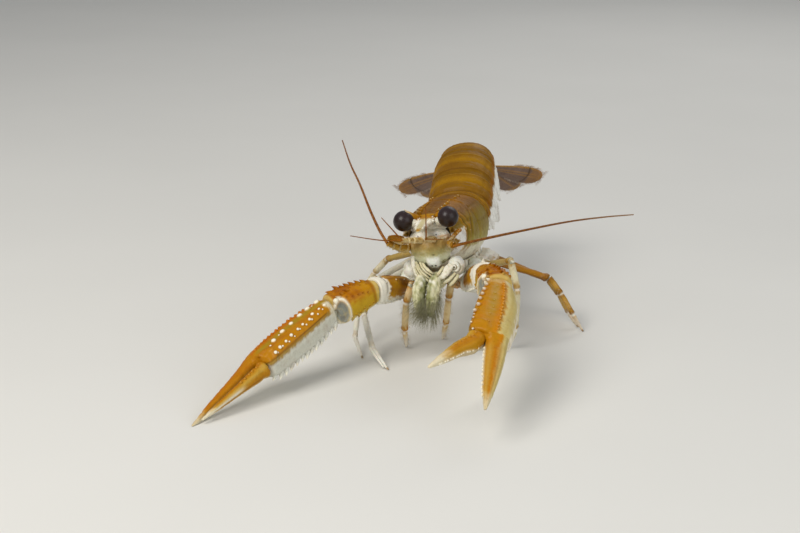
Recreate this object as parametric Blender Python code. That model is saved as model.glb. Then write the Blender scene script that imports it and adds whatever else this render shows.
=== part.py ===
# Norway lobster in its whole shell, a still model in one fixed pose, each part of the shell
# a solid of its own. Lengths are in millimetres and become metres when a mesh is made. +Z is
# up, the floor is z = 0, the head points toward -Y and the animal's left is toward +X.
import math
import random

import bpy
import bmesh
import numpy as np
from mathutils import Matrix, Vector

MM = 0.001
GAP = 0.3
SHIFT = np.array([-1.8, -23.2, 0.0])
UP = np.array([0.0, 0.0, 1.0])
FLOOR = (np.zeros(3), UP)

# Carapace. Each section is its distance back from the orbit, half width, top and bottom.
CARAPACE_LENGTH = 50.0
CARAPACE_MIDDLE = np.array([-0.3, 25.0, 39.6])
CARAPACE_PITCH = -8.0
LEAN = -9.0
CARAPACE_SIDES = 28
ARCH_POWER = 2.15
CARAPACE_SECTIONS = (
    (0.0, 8.0, 9.4, 4.2),
    (2.5, 9.5, 9.8, 6.3),
    (6.0, 10.8, 10.2, 8.4),
    (12.0, 12.0, 10.9, 11.0),
    (18.0, 12.8, 11.4, 12.2),
    (23.5, 13.3, 11.8, 12.5),
    (26.0, 12.8, 11.2, 12.5),
    (28.5, 13.5, 11.9, 12.6),
    (35.0, 13.8, 12.1, 12.5),
    (41.0, 13.5, 12.0, 11.9),
    (46.0, 12.9, 11.7, 10.8),
    (50.0, 12.2, 11.2, 9.0),
)
# Spines of the back: distance back from the orbit, distance from the middle, length. Those of
# the sides add the height before the length.
BACK_SPINES = ((3.0, 3.6, 2.6), (7.5, 3.9, 2.2), (12.5, 4.1, 1.7), (17.5, 4.3, 1.2),
               (31.0, 4.6, 1.1), (36.0, 4.8, 0.9))
SPINE_STOUTNESS = 0.45
SIDE_SPINES = ((1.2, 8.5, 2.6, 2.8), (9.0, 11.2, 2.0, 1.3), (13.5, 11.9, 1.0, 1.1))
STERNUM_HALF_WIDTH = 8.8
STERNUM_DEPTH = 4.9
MOUTH_HALF_WIDTH = 6.4
MOUTH_DEPTH = 2.6
MOUTH_END = 12.0
# The face in front of the orbit: distance forward, half width, top and bottom.
FACE_SECTIONS = ((GAP, 7.7, 5.0, 9.4), (2.0, 7.2, 4.6, 9.2), (4.2, 5.2, 3.4, 7.4))
FACE_SIDES = 14
ROSTRUM_LENGTH = 18.2
ROSTRUM_HALF_WIDTH = 3.3
ROSTRUM_HEIGHT = 7.6
# Along the beak: part of its length, part of its width, half its height.
ROSTRUM_SHAPE = ((0.0, 1.0, 1.7), (0.15, 0.95, 1.6), (0.45, 0.66, 1.4), (0.8, 0.36, 0.9), (1.0, 0.1, 0.25))
# Teeth of the beak: distance from its root, length.
ROSTRUM_TEETH = ((5.0, 1.9), (8.0, 1.8), (11.6, 1.6))
EYE_RADIUS = 3.7
EYE_WIDTH = 1.16
EYE_HEIGHT = 0.98
EYE_CENTRE = (8.3, -3.4, 8.0)
EYE_SLICES = (-1.75, -1.2, 0.3, 1.8, 2.8, 3.4)
EYESTALK_ROOT = (3.4, -3.2, 6.6)

# Line of an antennal scale: distance from the middle, distance forward of the orbit, height.
SCALE_LINE = ((8.6, 1.9, 1.7), (10.0, 4.8, 2.3), (11.6, 8.2, 3.0), (12.6, 11.8, 3.6))

# Abdomen. Each ring is its length, pitch, yaw, half width, top and depth of its side plates.
ABDOMEN_START = np.array([-0.3, 49.8, 36.1])
ABDOMEN_LEAN = -8.0
ABDOMEN_RINGS = (
    (6.0, 10.0, 3.0, 12.3, 11.4, 6.0),
    (12.5, 27.0, 5.0, 12.8, 11.6, 11.5),
    (12.5, 24.0, 6.0, 12.8, 11.5, 11.0),
    (12.0, 5.0, 7.0, 12.3, 11.0, 10.5),
    (11.0, -10.0, 8.0, 11.3, 9.8, 9.5),
    (13.0, -16.0, 8.0, 10.0, 8.2, 7.5),
)
# Along a ring: how far along, how large its arch is, and how far its side plates reach down.
RING_PROFILE = ((0.0, 0.95, 0.62), (0.16, 0.95, 0.7), (0.24, 1.0, 0.84), (0.5, 1.0, 1.0),
                (0.58, 0.975, 1.0), (0.66, 1.0, 0.96), (0.88, 1.005, 0.8), (1.0, 0.985, 0.66))
FAN_ROOT = (8.2, 6.4)
SWIMMERET_RINGS = (1, 2, 3, 4)
# A swimmeret's line: distance from the middle, part of the ring's length, height.
SWIMMERET_LINE = ((4.6, 0.5, -2.4), (5.2, 0.55, -6.5), (5.6, 0.7, -10.6))
BELLY = 3.2
FAN_PITCH = -50.0
FAN_YAW = 8.0
TELSON_LENGTH = 21.5
TELSON_SHAPE = ((0, 5.0, 5.0), (0.12, 5.3, 5.3), (0.5, 4.9, 4.9), (0.85, 4.2, 4.2), (0.96, 3.2, 3.2),
                (1.0, 1.6, 1.6))
BLADE_SHAPE = ((0, 1.5, 1.5), (0.22, 3.0, 3.0), (0.45, 4.8, 4.8), (0.7, 5.8, 5.8), (0.86, 5.2, 5.2),
               (0.96, 3.4, 3.4), (1.0, 1.4, 1.4))
# Side plates of the fan: name, distance of the root from the middle, heading, length, level.
UROPODS = (("uropod_inner_", 5.4, 36.0, 23.9, 0.0), ("uropod_outer_", 6.6, 64.0, 26.0, -1.5))

# Limbs. A walking leg has its place along the carapace, then its joints: end of the ischium,
# knee, end of the carpus, end of the propodus and foot.
LEGS = {
    ("L", 2): (27.0, ((5.6, 19.5, 20.8), (6.5, 5.0, 27.0), (5.4, 5.5, 20.0), (3.4, 11.0, 8.5),
                      (1.2, 17.8, 0.0))),
    ("R", 2): (27.0, ((-3.2, 18.5, 19.4), (-6.8, -1.0, 26.8), (-8.6, -2.2, 19.6),
                      (-9.8, 0.6, 8.2), (-10.2, 6.4, 0.0))),
    ("L", 3): (33.5, ((15.0, 30.5, 26.0), (26.6, 13.0, 33.6), (29.6, 11.0, 23.5),
                      (29.2, 10.5, 8.6), (26.0, 14.5, 0.0))),
    ("R", 3): (33.5, ((-12.8, 27.5, 24.2), (-24.6, 6.5, 20.6), (-24.2, -2.5, 14.0),
                      (-18.6, -12.5, 5.4), (-11.4, -18.6, 0.0))),
    ("L", 4): (39.5, ((16.5, 38.0, 25.2), (37.0, 41.0, 19.4), (42.0, 39.6, 13.6),
                      (47.0, 37.0, 6.6), (50.8, 38.0, 0.0))),
    ("R", 4): (39.5, ((-14.0, 36.0, 24.8), (-29.5, 18.0, 18.2), (-29.6, 10.0, 13.0),
                      (-28.0, -1.0, 4.6), (-23.2, -9.0, 0.0))),
    ("L", 5): (45.0, ((16.0, 47.0, 23.6), (35.6, 47.8, 16.6), (40.4, 45.8, 11.4),
                      (44.6, 43.4, 5.0), (48.3, 42.6, 0.0))),
    ("R", 5): (45.0, ((-13.0, 48.5, 25.0), (-29.0, 54.0, 18.4), (-34.5, 55.5, 12.0),
                      (-38.6, 54.5, 4.6), (-41.0, 51.5, 0.0))),
}
# A cheliped has the ends of its ischium, merus, carpus, palm and fixed finger, the tip of
# its moving finger, and how far the palm is rolled.
CHELIPED_BACK = 20.0
CHELIPEDS = {
    "L": ((12.2, 12.0, 24.5), (21.0, -6.5, 33.5), (28.0, -21.0, 33.3), (29.6, -52.0, 25.6),
          (34.4, -81.0, 13.4), (15.4, -76.0, 24.0), 15.0),
    "R": ((-10.8, 9.5, 22.3), (-18.0, -13.0, 27.0), (-31.0, -24.5, 22.6), (-47.8, -52.5, 10.4),
          (-60.8, -83.0, 0.0), (-58.6, -81.5, 1.5), -10.0),
}
OPEN_CLAW = "L"
CLAW_SIDES = 12
RIDGES = {"inner": 11.5, "back_inner": 1, "back_middle": 2.1, "back_outer": 4,
          "belly_outer": 7, "belly_inner": 10}
SPINE_TIP = 0.1
# Along the palm, then along the fixed finger: part of the length, half width, half height, and
# for the finger how far it is set off to the outer side.
PALM_SHAPE = ((0.0, 4.3, 4.4), (0.12, 5.2, 5.0), (0.5, 6.7, 5.5), (0.85, 6.8, 5.3), (0.994, 6.4, 4.8))
FINGER_SHAPE = ((0.0, 3.2, 4.3, -3.0), (0.35, 2.3, 3.0, -1.9), (0.7, 1.5, 1.9, -1.2),
                (0.92, 0.7, 0.7, -0.5), (1.0, 0.45, 0.45, -0.2))
HINGE_SIDE = 3.4
# Rows of spines: the ridge, where the row begins and ends along the length, how many, their
# length, their radius and how far they lean forward.
MERUS_SPINES = (("back_outer", 6.0, 20.0, 4, 1.3, 0.8, 0.8), ("back_inner", 9.0, 20.5, 3, 1.3, 0.8, 0.8),
                ("belly_inner", 5.0, 20.0, 5, 1.0, 0.7, 0.8), ("back_middle", 19.5, 19.5, 1, 1.9, 1.0, 1.0))
CARPUS_SPINES = (("back_outer", 4.0, 13.5, 4, 1.5, 0.9, 0.7), ("back_middle", 3.5, 13.5, 4, 1.3, 0.9, 0.7),
                 ("back_inner", 4.0, 13.5, 4, 1.9, 1.0, 0.8), ("belly_inner", 6.0, 13.0, 3, 1.0, 0.8, 0.7))
PALM_SPINES = (("back_outer", 3.0, 30.0, 9, 0.7, 0.75, 0.5), ("back_middle", 4.0, 29.0, 7, 0.8, 0.95, 0.3),
               ("back_inner", 3.0, 29.5, 9, 1.1, 0.85, 0.6), ("belly_inner", 3.0, 29.5, 9, 1.8, 1.0, 0.9),
               ("belly_outer", 5.0, 28.0, 6, 0.6, 0.7, 0.5))
MAXILLIPEDS = {
    "L": ((2.2, 5.5, 26.6), (0.8, -5.5, 29.0), (0.0, -9.5, 25.6), (0.3, -8.6, 19.6), (0.9, -6.0, 15.6)),
    "R": ((-1.6, 5.5, 26.0), (-4.2, -5.0, 28.4), (-5.0, -9.0, 25.0), (-4.2, -8.2, 19.0),
          (-3.0, -5.6, 15.2)),
}
ANTENNAE = {
    "L": ((9.6, -8.2, 44.0), (18.0, -4.0, 45.6), (30.6, 8.0, 46.3), (45.0, 29.0, 45.0),
          (56.3, 50.0, 41.9), (65.0, 72.0, 37.5)),
    "R": ((-14.0, -8.6, 43.6), (-17.5, -6.6, 48.0), (-21.8, -2.0, 53.5), (-28.0, 8.0, 60.0),
          (-34.8, 20.0, 64.8), (-43.0, 40.0, 68.5)),
}
FEELER_RINGS = 16
FEELER_RADII = (0.95, 0.35)
ANTENNULES = {
    "L": (((0.4, -10.5, 46.6), (0.8, -12.5, 50.5), (0.9, -13.5, 59.0)),
          ((0.4, -10.5, 46.6), (3.5, -13.5, 47.6), (7.4, -15.0, 48.2))),
    "R": (((-8.2, -10.5, 45.6), (-10.5, -12.0, 48.8), (-15.2, -12.5, 54.0)),
          ((-8.2, -10.5, 45.6), (-15.0, -13.5, 46.0), (-26.0, -14.5, 47.2))),
}
WHIP_RINGS = 7
WHIP_RADII = (0.5, 0.3)

TONES = {
    "shell": ((0.66, 0.20, 0.04), 0.35),
    "abdomen": ((0.66, 0.24, 0.05), 0.35),
    "fan": ((0.62, 0.30, 0.22), 0.4),
    "pale": ((0.74, 0.60, 0.46), 0.45),
    "claw": ((0.70, 0.20, 0.03), 0.35),
    "finger": ((0.76, 0.36, 0.14), 0.4),
    "leg": ((0.70, 0.46, 0.32), 0.4),
    "eye": ((0.012, 0.008, 0.007), 0.12),
    "feeler": ((0.32, 0.08, 0.03), 0.4),
}

for old in list(bpy.data.objects):
    bpy.data.objects.remove(old, do_unlink=True)
for old in list(bpy.data.collections):
    bpy.data.collections.remove(old)
LOBSTER = bpy.data.collections.new("norway_lobster")
bpy.context.scene.collection.children.link(LOBSTER)
HANDS = (("L", 1.0), ("R", -1.0))
SURFACES = {}
DICE = random.Random(31)


def unit(vector):
    vector = np.asarray(vector, float)
    return vector / np.linalg.norm(vector)


def turn(yaw, pitch, lean):
    # Leans about the body's length, then lifts its rear end, then swings it, in degrees.
    a, b, c = (math.radians(value) for value in (yaw, pitch, lean))
    swing = np.array([[math.cos(a), -math.sin(a), 0], [math.sin(a), math.cos(a), 0], [0, 0, 1]])
    lift = np.array([[1, 0, 0], [0, math.cos(b), -math.sin(b)], [0, math.sin(b), math.cos(b)]])
    tip = np.array([[math.cos(c), 0, math.sin(c)], [0, 1, 0], [-math.sin(c), 0, math.cos(c)]])
    return swing @ lift @ tip


def place(frame, point):
    return frame[0] + frame[1] @ np.asarray(point, float)


def moved(plane, distance):
    return plane[0] + plane[1] * distance, plane[1]


def bisector(before, joint, after):
    # The plane that two lengths share where they meet.
    joint = np.asarray(joint, float)
    return joint, unit(unit(joint - np.asarray(before)) + unit(np.asarray(after) - joint))


def slide(points, way, plane):
    # Moves points along a direction until they lie on a plane.
    reach = ((plane[0] - points) @ plane[1]) / (way @ plane[1])
    return points + reach[:, None] * way


def power(value, exponent):
    return math.copysign(abs(value) ** exponent, value)


def smooth(points, count):
    # Evenly spread points on a Catmull-Rom curve through the given ones.
    points = np.array(points, float)
    padded = np.vstack([2 * points[0] - points[1], points, 2 * points[-1] - points[-2]])
    curve = []
    for place_along in np.linspace(0, len(points) - 1 - 1e-9, count):
        start = int(place_along)
        t = place_along - start
        a, b, c, d = padded[start:start + 4]
        bend = (2 * a - 5 * b + 4 * c - d) * t ** 2 + (3 * b - a - 3 * c + d) * t ** 3
        curve.append(0.5 * (2 * b + (c - a) * t + bend))
    return curve


def finish(name, tone):
    color, roughness = TONES[tone]
    material = bpy.data.materials.new(name)
    material.use_nodes = True
    shader = material.node_tree.nodes["Principled BSDF"]
    shader.inputs["Base Color"].default_value = (*color, 1.0)
    shader.inputs["Roughness"].default_value = roughness
    material.diffuse_color = (*color, 1.0)
    return material


def loft(name, rings, tone):
    # A closed skin over rings of equal count, with a flat cap on each end.
    count = len(rings[0])
    points = (np.vstack(rings) + SHIFT) * MM
    faces = [tuple(range(count)), tuple(range(len(points) - count, len(points)))]
    for row in range(len(rings) - 1):
        for column in range(count):
            beside = (column + 1) % count
            low = row * count
            faces.append((low + column, low + beside, low + count + beside, low + count + column))
    mesh = bpy.data.meshes.new(name)
    mesh.from_pydata(points.tolist(), [], faces)
    form = bmesh.new()
    form.from_mesh(mesh)
    bmesh.ops.recalc_face_normals(form, faces=form.faces)
    form.to_mesh(mesh)
    form.free()
    mesh.materials.append(finish(name, tone))
    obj = bpy.data.objects.new(name, mesh)
    LOBSTER.objects.link(obj)
    return obj


def spine(root, way, length, radius, sink=0.7):
    # A five-sided cone whose root is sunk in the surface it stands on.
    way = Vector(unit(way))
    form = bmesh.new()
    bmesh.ops.create_cone(form, cap_ends=True, segments=5, radius1=radius * MM, radius2=SPINE_TIP * MM,
                          depth=(length + sink) * MM)
    middle = Vector((np.asarray(root) + SHIFT).tolist()) + way * (length - sink) / 2
    form.transform(Matrix.Translation(middle * MM) @ way.to_track_quat("Z", "Y").to_matrix().to_4x4())
    mesh = bpy.data.meshes.new("spine")
    form.to_mesh(mesh)
    form.free()
    return bpy.data.objects.new("spine", mesh)


def knob(centre, radii):
    # A rounded bump of the head, turned with the carapace.
    form = bmesh.new()
    bmesh.ops.create_icosphere(form, subdivisions=2, radius=1.0)
    for vert in form.verts:
        point = np.asarray(centre) + SHIFT + CARAPACE[1] @ (np.array(vert.co) * radii)
        vert.co = Vector((point * MM).tolist())
    mesh = bpy.data.meshes.new("knob")
    form.to_mesh(mesh)
    form.free()
    return bpy.data.objects.new("knob", mesh)


def largest_only(obj):
    # Keeps the largest closed surface of a fused node.
    form = bmesh.new()
    form.from_mesh(obj.data)
    left = set(form.faces)
    groups = []
    while left:
        edge_of_group = [left.pop()]
        group = list(edge_of_group)
        while edge_of_group:
            face = edge_of_group.pop()
            for edge in face.edges:
                for near in edge.link_faces:
                    if near in left:
                        left.discard(near)
                        group.append(near)
                        edge_of_group.append(near)
        groups.append(group)
    groups.sort(key=len)
    for group in groups[:-1]:
        bmesh.ops.delete(form, geom=group, context="FACES")
    form.to_mesh(obj.data)
    form.free()


def fuse(obj, extras):
    # One Boolean union of a node with all that grows from it.
    if not extras:
        return obj
    group = bpy.data.collections.new("growths")
    bpy.context.scene.collection.children.link(group)
    for extra in extras:
        for holder in list(extra.users_collection):
            holder.objects.unlink(extra)
        group.objects.link(extra)
    join = obj.modifiers.new("join", "BOOLEAN")
    join.operation = "UNION"
    join.operand_type = "COLLECTION"
    join.collection = group
    join.solver = "MANIFOLD"
    bpy.context.view_layer.objects.active = obj
    bpy.ops.object.modifier_apply(modifier=join.name)
    for extra in list(group.objects):
        bpy.data.objects.remove(extra, do_unlink=True)
    bpy.data.collections.remove(group)
    while len(obj.data.materials) > 1:
        obj.data.materials.pop()
    largest_only(obj)
    return obj


def cross_axes(way, up, roll=0.0):
    # Two directions across a length, rolled about it by degrees: toward its right as it points
    # forward, and upward.
    over = unit(up - (up @ way) * way)
    across = np.cross(way, over)
    a = math.radians(roll)
    return across * math.cos(a) + over * math.sin(a), over * math.cos(a) - across * math.sin(a)


def limb(name, line, sizes, up, tone, start=None, end=None, sides=10, shape=2.2, roll=0.0):
    # A length of limb along a line of points. A size is a half width and a half height,
    # and may add how far its ring is set off sideways and upward.
    line = [np.asarray(point, float) for point in line]
    last = len(line) - 1
    rings = []
    for row, (point, size) in enumerate(zip(line, sizes)):
        before = unit(point - line[row - 1]) if row else None
        after = unit(line[row + 1] - point) if row < last else None
        if before is None:
            way = after
        elif after is None:
            way = before
        else:
            way = unit(before + after)
        across, over = cross_axes(way, np.asarray(up, float), roll)
        wide, high = size[:2]
        aside, above = size[2:] if len(size) > 2 else (0.0, 0.0)
        ring = []
        for side in range(sides):
            angle = 2 * math.pi * (side + 0.5) / sides
            x = wide * power(math.cos(angle), 2 / shape) + aside
            z = high * power(math.sin(angle), 2 / shape) + above
            ring.append(point + across * x + over * z)
        ring = np.array(ring)
        if row == 0 and start is not None:
            ring = slide(ring, after, start)
        if row == last and end is not None:
            ring = slide(ring, before, end)
        rings.append(ring)
    steps = [0.0] + [float(np.linalg.norm(b - a)) for a, b in zip(line, line[1:])]
    SURFACES[name] = (np.cumsum(steps), rings)
    return loft(name, rings, tone)


def on_limb(name, distance, side):
    # The point on a limb's skin at a distance along it, and the directions out and forward.
    # The side counts the ring's corners, and may fall between two of them.
    distances, rings = SURFACES[name]
    row = float(np.interp(distance, distances, range(len(distances))))
    low = min(int(row), len(rings) - 2)
    ring = rings[low] + (rings[low + 1] - rings[low]) * (row - low)
    corner = int(side) % len(ring)
    point = ring[corner] + (ring[(corner + 1) % len(ring)] - ring[corner]) * (side - int(side))
    forward = unit(rings[low + 1].mean(axis=0) - rings[low].mean(axis=0))
    out = point - ring.mean(axis=0)
    return point, unit(out - (out @ forward) * forward), forward


def spine_row(name, side, first, last, count, length, radius, lean):
    # Spines in a row along a limb, each a little different from its neighbours.
    row = []
    for distance in np.linspace(first, last, count):
        point, out, forward = on_limb(name, distance + DICE.uniform(-0.3, 0.3), side)
        size = DICE.uniform(0.8, 1.15)
        row.append(spine(point, out + forward * lean, length * size, radius * size))
    return row


# Carapace, mouth and breast plates
CARAPACE_TURN = turn(0.0, CARAPACE_PITCH, LEAN)
CARAPACE = (CARAPACE_MIDDLE - CARAPACE_TURN @ np.array([0, CARAPACE_LENGTH / 2, 0]), CARAPACE_TURN)


def abdomen_frames():
    frames = []
    origin = ABDOMEN_START
    for length, pitch, yaw, *_ in ABDOMEN_RINGS:
        rotation = turn(yaw, pitch, ABDOMEN_LEAN)
        frames.append((origin, rotation))
        origin = origin + rotation @ np.array([0, length, 0])
    frames.append((origin, turn(FAN_YAW, FAN_PITCH, ABDOMEN_LEAN)))
    return frames


RINGS = abdomen_frames()


def body_joint(index):
    # The plane between body ring `index` and the one in front of it; 0 is the carapace.
    before = CARAPACE[1] if index == 0 else RINGS[index - 1][1]
    return RINGS[index][0], unit(before[:, 1] + RINGS[index][1][:, 1])


def reach(frame, plane, x, z):
    # How far along a frame's length the line at (x, z) meets a plane.
    start = place(frame, (x, 0, z))
    return float((plane[0] - start) @ plane[1] / (frame[1][:, 1] @ plane[1]))


def carapace_size(back):
    table = np.array(CARAPACE_SECTIONS)
    return [float(np.interp(back, table[:, 0], table[:, column])) for column in (1, 2, 3)]


def on_carapace(back, x, z):
    # A point in the carapace, whose length is stretched to meet the slanted rear plane.
    stretch = reach(CARAPACE, moved(body_joint(0), -GAP / 2), x, z) / CARAPACE_LENGTH
    return place(CARAPACE, (x, back * stretch, z))


def carapace_top(back, x):
    half_width, top, _ = carapace_size(back)
    return top * (1 - min(1.0, abs(x) / half_width) ** ARCH_POWER) ** (1 / ARCH_POWER)


def carapace_bottom(back, x):
    half_width, _, bottom = carapace_size(back)
    return -bottom * (1 - min(1.0, abs(x) / half_width) ** ARCH_POWER) ** (1 / ARCH_POWER)


def make_carapace():
    rings = []
    for back, half_width, top, bottom in CARAPACE_SECTIONS:
        ring = []
        for side in range(CARAPACE_SIDES):
            angle = 2 * math.pi * side / CARAPACE_SIDES
            x = half_width * power(math.sin(angle), 2 / ARCH_POWER)
            z = power(math.cos(angle), 2 / ARCH_POWER)
            ring.append(on_carapace(back, x, z * (top if z > 0 else bottom)))
        rings.append(np.array(ring))
    spines = []
    for _, sign in HANDS:
        for back, x, length in BACK_SPINES:
            root = on_carapace(back, sign * x, carapace_top(back, x))
            way = CARAPACE[1] @ np.array([sign * 0.3, -1.0, 0.9])
            spines.append(spine(root, way, length, SPINE_STOUTNESS + 0.18 * length))
        for back, x, z, length in SIDE_SPINES:
            root = on_carapace(back, sign * x, z)
            way = CARAPACE[1] @ np.array([sign * 0.6, -1.0, 0.15])
            spines.append(spine(root, way, length, SPINE_STOUTNESS + 0.18 * length))
    return fuse(loft("carapace", rings, "shell"), spines)


def underside(name, first, last, half_width, depth, tone):
    # A plate that fits the carapace's lower curve from one place back to another.
    backs = [first] + [row[0] for row in CARAPACE_SECTIONS if first < row[0] < last] + [last]
    rings = []
    for back in backs:
        wide = min(half_width, 0.78 * carapace_size(back)[0], 5.8 + 0.6 * abs(back - MOUTH_END))
        across = np.linspace(wide, -wide, 7)
        floor = carapace_bottom(back, wide) - GAP - depth
        ring = [on_carapace(back, x, carapace_bottom(back, x) - 1.3 * GAP) for x in across]
        for x, drop in ((-wide, 0.0), (-wide * 0.6, 1.2), (wide * 0.6, 1.2), (wide, 0.0)):
            level = min(floor - drop, carapace_bottom(back, x) - 2.0)
            ring.append(on_carapace(back, x, level))
        rings.append(np.array(ring))
    return loft(name, rings, tone)


def make_face():
    rings = []
    for forward, half_width, top, bottom in FACE_SECTIONS:
        ring = []
        for side in range(FACE_SIDES):
            angle = 2 * math.pi * side / FACE_SIDES
            x = half_width * power(math.sin(angle), 0.8)
            z = power(math.cos(angle), 0.8)
            ring.append(place(CARAPACE, (x, -forward, z * (top if z > 0 else bottom))))
        rings.append(np.array(ring))
    jaws = [knob(place(CARAPACE, (sign * 2.3, -3.4, -5.6)), (2.1, 1.8, 2.5)) for _, sign in HANDS]
    lip = knob(place(CARAPACE, (0, -4.0, -2.2)), (2.0, 1.4, 1.3))
    return fuse(loft("face", rings, "pale"), jaws + [lip])


def make_rostrum():
    root = place(CARAPACE, (0, -GAP, ROSTRUM_HEIGHT))
    tip = place(CARAPACE, (0, -ROSTRUM_LENGTH, 5.5))
    line = [root + (tip - root) * part for part, _, _ in ROSTRUM_SHAPE]
    sizes = [(ROSTRUM_HALF_WIDTH * wide, high) for _, wide, high in ROSTRUM_SHAPE]
    start = (root, CARAPACE[1][:, 1])
    beak = limb("rostrum", line, sizes, CARAPACE[1][:, 2], "shell", start=start, sides=8, shape=1.6)
    teeth = []
    for corner in (0.0, 3.0):
        for distance, length in ROSTRUM_TEETH:
            point, out, forward = on_limb("rostrum", distance, corner)
            teeth.append(spine(point, out + forward * 1.3 + CARAPACE[1][:, 2] * 0.3, length, 0.8, sink=0.5))
    point, out, forward = on_limb("rostrum", 0.6 * ROSTRUM_LENGTH, 5.5)
    teeth.append(spine(point, out + forward * 1.2, 1.4, 0.7, sink=0.5))
    return fuse(beak, teeth)


def make_eye(hand):
    label, sign = hand
    eye = np.array(EYE_CENTRE) * (sign, 1, 1)
    start = place(CARAPACE, np.array(EYESTALK_ROOT) * (sign, 1, 1))
    centre = place(CARAPACE, eye)
    way = unit(centre - start)
    face = centre + way * (EYE_SLICES[0] - GAP)
    up = CARAPACE[1][:, 2]
    stalk = [start, (start + face) / 2, face]
    limb("eyestalk_" + label, stalk, [(1.3, 1.3), (1.7, 1.7), (2.3, 2.2)], up, "pale", sides=8, shape=2.0)
    line = [centre + way * along for along in EYE_SLICES]
    sizes = []
    for along in EYE_SLICES:
        radius = math.sqrt(EYE_RADIUS ** 2 - along ** 2)
        sizes.append((EYE_WIDTH * radius, EYE_HEIGHT * radius))
    limb("eye_" + label, line, sizes, up, "eye", sides=12, shape=2.0)


def make_antenna(hand):
    label, sign = hand
    flagellum = smooth(ANTENNAE[label], FEELER_RINGS)
    root = place(CARAPACE, (sign * 7.9, -2.4, -1.6))
    bend = place(CARAPACE, (sign * 9.4, -5.4, -0.8))
    joint = bisector(bend, flagellum[0], flagellum[1])
    start = (root, unit(bend - root))
    limb("antenna_base_" + label, [root, bend, flagellum[0]], [(1.6, 1.7), (2.1, 2.1), (1.5, 1.5)],
         UP, "shell", start=start, end=moved(joint, -GAP / 2), sides=8)
    sizes = [(radius, radius) for radius in np.linspace(*FEELER_RADII, FEELER_RINGS)]
    limb("antenna_" + label, flagellum, sizes, UP, "feeler", start=moved(joint, GAP / 2), sides=6)


def make_antennal_scale(hand):
    label, sign = hand
    up = CARAPACE[1][:, 2]
    line = [place(CARAPACE, (sign * x, -forward, z)) for x, forward, z in SCALE_LINE]
    sizes = [(1.4, 0.5), (2.5, 0.55), (2.2, 0.5), (0.3, 0.25)]
    limb("antennal_scale_" + label, line, sizes, up, "shell", sides=6)


def make_antennule(hand):
    label, sign = hand
    upper, lower = ANTENNULES[label]
    root = place(CARAPACE, (sign * 2.4, -4.2 - GAP, 0.8))
    start = (root, CARAPACE[1][:, 1])
    line = [root, (root + np.array(upper[0])) / 2, upper[0]]
    stem = limb("antennule_" + label, line, [(1.3, 1.3), (1.2, 1.2), (0.9, 0.9)], UP, "shell",
                start=start, sides=8)
    whips = []
    across = np.array([0.3, 0.9, 0.1])
    for points in (upper, lower):
        curve = smooth(points, WHIP_RINGS)
        curve[0] = curve[0] - unit(curve[1] - curve[0]) * 0.6
        sizes = [(radius, radius) for radius in np.linspace(*WHIP_RADII, WHIP_RINGS)]
        whips.append(limb("whip", curve, sizes, across, "feeler", sides=6))
    fuse(stem, whips)


def make_maxilliped(hand):
    label, sign = hand
    joints = [np.array(point) for point in MAXILLIPEDS[label]]
    root = on_carapace(9.0, sign * 2.3, carapace_bottom(9.0, 2.3) - MOUTH_DEPTH - 2.0)
    line = [root, joints[0], (joints[0] + joints[1]) / 2, *joints[1:]]
    sizes = [(1.4, 1.5), (1.7, 1.7), (1.9, 1.8), (1.9, 1.8), (1.8, 1.7), (1.4, 1.4), (0.6, 0.6)]
    side = np.array([1.0, 0.0, 0.1])
    limb("maxilliped_" + label, line, sizes, side, "pale", sides=8)


# Abdomen and tail fan
def ring_outline(half_width, top, plate):
    half = []
    for degrees in (72, 54, 36, 18, 0):
        angle = math.radians(degrees)
        half.append((half_width * math.cos(angle) ** 0.9, top * math.sin(angle) ** 0.9))
    half += [(0.99 * half_width, -0.5 * plate), (0.93 * half_width, -plate)]
    half.append((0.86 * half_width, -0.5 * plate - 0.2))
    half.append((0.78 * half_width, -BELLY))
    mirrored = [(-x, z) for x, z in reversed(half)]
    return [(0.0, top)] + half + [(0.0, -BELLY - 0.4)] + mirrored


def make_abdomen_ring(index):
    length, _, _, half_width, top, plate = ABDOMEN_RINGS[index]
    frame = RINGS[index]
    front = moved(body_joint(index), GAP / 2)
    back = moved(body_joint(index + 1), -GAP / 2)
    next_width, next_top = ABDOMEN_RINGS[index + 1][3:5] if index < 5 else FAN_ROOT
    rings = []
    for part, swell, drop in RING_PROFILE:
        wide = (half_width + (next_width - half_width) * part) * swell
        high = (top + (next_top - top) * part) * swell
        deep = max(BELLY + 1.0, plate * drop)
        ring = []
        for x, z in ring_outline(wide, high, deep):
            near, far = reach(frame, front, x, z), reach(frame, back, x, z)
            ring.append(place(frame, (x, near + (far - near) * part, z)))
        rings.append(np.array(ring))
    plate = loft("abdomen_%d" % (index + 1), rings, "abdomen")
    if index not in SWIMMERET_RINGS:
        return plate
    paddles = []
    for _, sign in HANDS:
        points = [place(frame, (sign * x, length * part, z)) for x, part, z in SWIMMERET_LINE]
        sizes = [(1.6, 0.6), (2.6, 0.6), (1.1, 0.4)]
        paddles.append(limb("swimmeret", points, sizes, -frame[1][:, 1], "pale", sides=6))
    return fuse(plate, paddles)


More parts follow.
